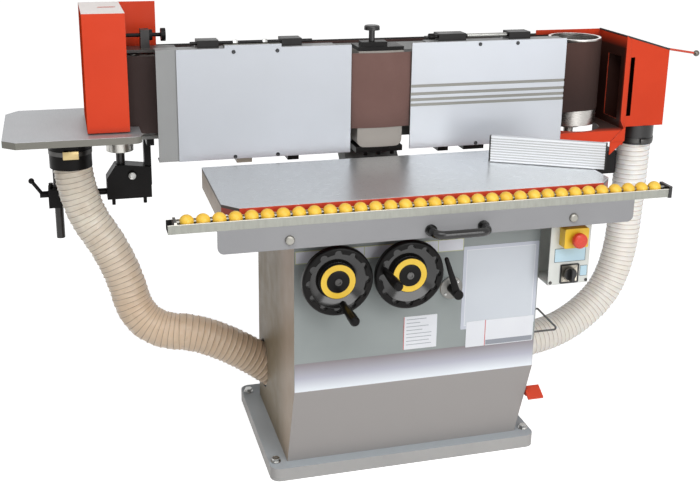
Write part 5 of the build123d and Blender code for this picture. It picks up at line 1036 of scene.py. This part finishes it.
def hose_clamp(name, body, housing, centre, width, height):
    """A band of thin sheet round the cuff, with its housing, of that width and height, at the front."""
    fresh_round(centre, radius=0.0549, length=0.012, turn=(0, 0, 0), ends="NOTHING")
    bpy.ops.mesh.select_all(action="SELECT")
    bpy.ops.mesh.solidify(thickness=-0.0010)
    front = centre[1] - 0.0590
    bpy.ops.mesh.primitive_cube_add(
        size=1,
        location=(centre[0], front, centre[2]),
        scale=(width, 0.0075, height),
    )
    bpy.ops.mesh.bevel(offset=0.0015, segments=2, affect="EDGES")
    tint(1, lambda f: f.calc_center_median().y < front + 0.0030)
    return settle(name, body, "bright_steel", dark_steel, housing)


hose_clamp("left_hose_clamp", "aux_table", clamp_brass_glint, (-0.801, 0.213, 0.782), width=0.040, height=0.022)
hose_clamp("right_hose_clamp", "base", dark_steel, (0.840, 0.194, 0.734), width=0.026, height=0.014)


# The hoses: clear plastic film on a copper-coloured spring wire, 102 mm outside, pushed into the
# black cuffs at the top and into the cabinet wall below. The film puckers between the turns.
def route_line(name, route):
    """The hose's middle line as a smooth curve through the route, read off as points."""
    curve = bpy.data.curves.new(name, "CURVE")
    curve.dimensions = "3D"
    curve.resolution_u = 64
    spline = curve.splines.new("NURBS")
    spline.points.add(len(route) - 1)
    for point, at in zip(spline.points, route):
        point.co = (*at, 1.0)
    spline.order_u = 3
    spline.use_endpoint_u = True
    holder = bpy.data.objects.new(name, curve)
    bpy.context.scene.collection.objects.link(holder)
    bpy.context.view_layer.update()
    mesh = bpy.data.meshes.new_from_object(holder)
    points = [v.co.copy() for v in mesh.vertices]
    bpy.data.objects.remove(holder)
    bpy.data.meshes.remove(mesh)
    return points


def spiral_hose(name, route, finish, pucker):
    """A ribbed tube whose wire winds along the line, with puckered film between the turns."""
    crest, root, bore, pitch = 0.0510, 0.0490, 0.0475, 0.0145
    steps, around, wire_share = 8, 48, 0.12
    line = route_line(name + "_route", route)
    marks = [0.0]
    for a, b in zip(line, line[1:]):
        marks.append(marks[-1] + (b - a).length)
    length = marks[-1]
    count = round(length / pitch) * steps + 1
    centres, outer, inner, ridges = [], [], [], []
    side = Vector((0, 1, 0))
    at = 0
    for ring in range(count):
        reach = length * ring / (count - 1)
        while at < len(line) - 2 and marks[at + 1] < reach:
            at += 1
        share = (reach - marks[at]) / (marks[at + 1] - marks[at])
        centre = line[at].lerp(line[at + 1], share)
        run = (line[at + 1] - line[at]).normalized()
        side = (side - run * side.dot(run)).normalized()
        across = run.cross(side)
        centres.append(centre)
        for i in range(around):
            angle = 2 * math.pi * i / around
            outward = side * math.cos(angle) + across * math.sin(angle)
            phase = (ring / steps - i / around + 0.5) % 1.0 - 0.5
            wire = math.exp(-((phase / wire_share) ** 2))
            dent = math.sin(5 * angle + 2.1 * ring / steps) + 0.6 * math.sin(11 * angle - 1.3 * ring / steps)
            radius = root + (crest - root) * wire + pucker * dent * (1 - wire)
            outer.append(centre + outward * min(radius, crest))
            ridges.append(wire)
            if ring % steps == 0:
                inner.append(centre + outward * bore)
    first_inner, last_outer = len(outer), len(outer) - around
    last_inner = first_inner + len(inner) - around
    faces = []
    for low in range(0, last_outer, around):
        for i in range(around):
            j = (i + 1) % around
            faces.append((low + i, low + j, low + around + j, low + around + i))
    for low in range(first_inner, last_inner, around):
        for i in range(around):
            j = (i + 1) % around
            faces.append((low + i, low + around + i, low + around + j, low + j))
    for i in range(around):
        j = (i + 1) % around
        faces.append((i, first_inner + i, first_inner + j, j))
        faces.append((last_outer + i, last_outer + j, last_inner + j, last_inner + i))
    mesh = bpy.data.meshes.new(name)
    mesh.from_pydata(outer + inner, [], faces)
    wires = mesh.attributes.new("wire", "FLOAT", "POINT")
    wires.data.foreach_set("value", ridges + [0.0] * len(inner))
    mesh.materials.append(finish)
    hose = bpy.data.objects.new(name, mesh)
    bpy.context.scene.collection.objects.link(hose)
    bpy.ops.object.select_all(action="DESELECT")
    bpy.context.view_layer.objects.active = hose
    hose.select_set(True)
    bpy.ops.object.mode_set(mode="EDIT")
    bpy.ops.mesh.select_all(action="SELECT")
    bpy.ops.mesh.normals_make_consistent(inside=False)
    bpy.ops.object.mode_set(mode="OBJECT")
    bpy.ops.object.shade_smooth()
    return hose, centres, length


def hose_film(name, film, dusty, low_tone, wire_tone):
    """Film with dust in its folds, another tone towards the bottom, and the wire showing through along each
    ridge.
    """
    finish, tree, shader = new_finish(name)
    ridge = tree.nodes.new("ShaderNodeAttribute")
    ridge.attribute_name = "wire"
    skin = mix_tones(tree, spread(tree, grain(tree, 25.0, 5.0), 0.0, 1.0, 0.35, 0.65), dusty, film)
    skin = mix_tones(tree, along(tree, "Z", 0.60, 0.36), skin, low_tone)
    thread = spread(tree, ridge.outputs["Fac"], 0.0, 0.85, 0.62, 0.95)
    colour_in(tree, shader, mix_tones(tree, thread, skin, wire_tone))
    roughen(tree, shader, grain(tree, 60.0), 0.25, 0.45)
    shader.inputs["Subsurface Weight"].default_value = 0.50
    shader.inputs["Subsurface Radius"].default_value = (0.03, 0.026, 0.022)
    bump = tree.nodes.new("ShaderNodeBump")
    bump.inputs["Strength"].default_value = 0.35
    bump.inputs["Distance"].default_value = 0.001
    tree.links.new(grain(tree, 120.0, 4.0, (1, 1, 0.35)), bump.inputs["Height"])
    tree.links.new(bump.outputs["Normal"], shader.inputs["Normal"])
    return finish


left_film = hose_film(
    "left_film", tone(242, 233, 218), tone(226, 214, 197), tone(218, 195, 169), tone(116, 92, 74)
)
right_film = hose_film(
    "right_film", tone(255, 252, 248), tone(250, 245, 238), tone(255, 246, 236), tone(148, 108, 86)
)
left_route = (
    (-0.801, 0.213, 0.813),
    (-0.801, 0.213, 0.652),
    (-0.690, 0.180, 0.480),
    (-0.646, 0.146, 0.284),
    (-0.4432, 0.105, 0.2708),
    (-0.2839, 0.105, 0.1418),
)
right_route = (
    (0.840, 0.194, 0.780),
    (0.840, 0.194, 0.600),
    (0.812, 0.176, 0.290),
    (0.660, 0.150, 0.163),
    (0.470, 0.105, 0.140),
    (0.315, 0.105, 0.140),
)
left_hose, left_line, left_length = spiral_hose("left_dust_hose", left_route, left_film, 0.0006)
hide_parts("hose_left")
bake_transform(left_hose)
right_hose, right_line, right_length = spiral_hose("right_dust_hose", right_route, right_film, 0.0004)
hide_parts("hose_right")
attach(right_hose, "base")
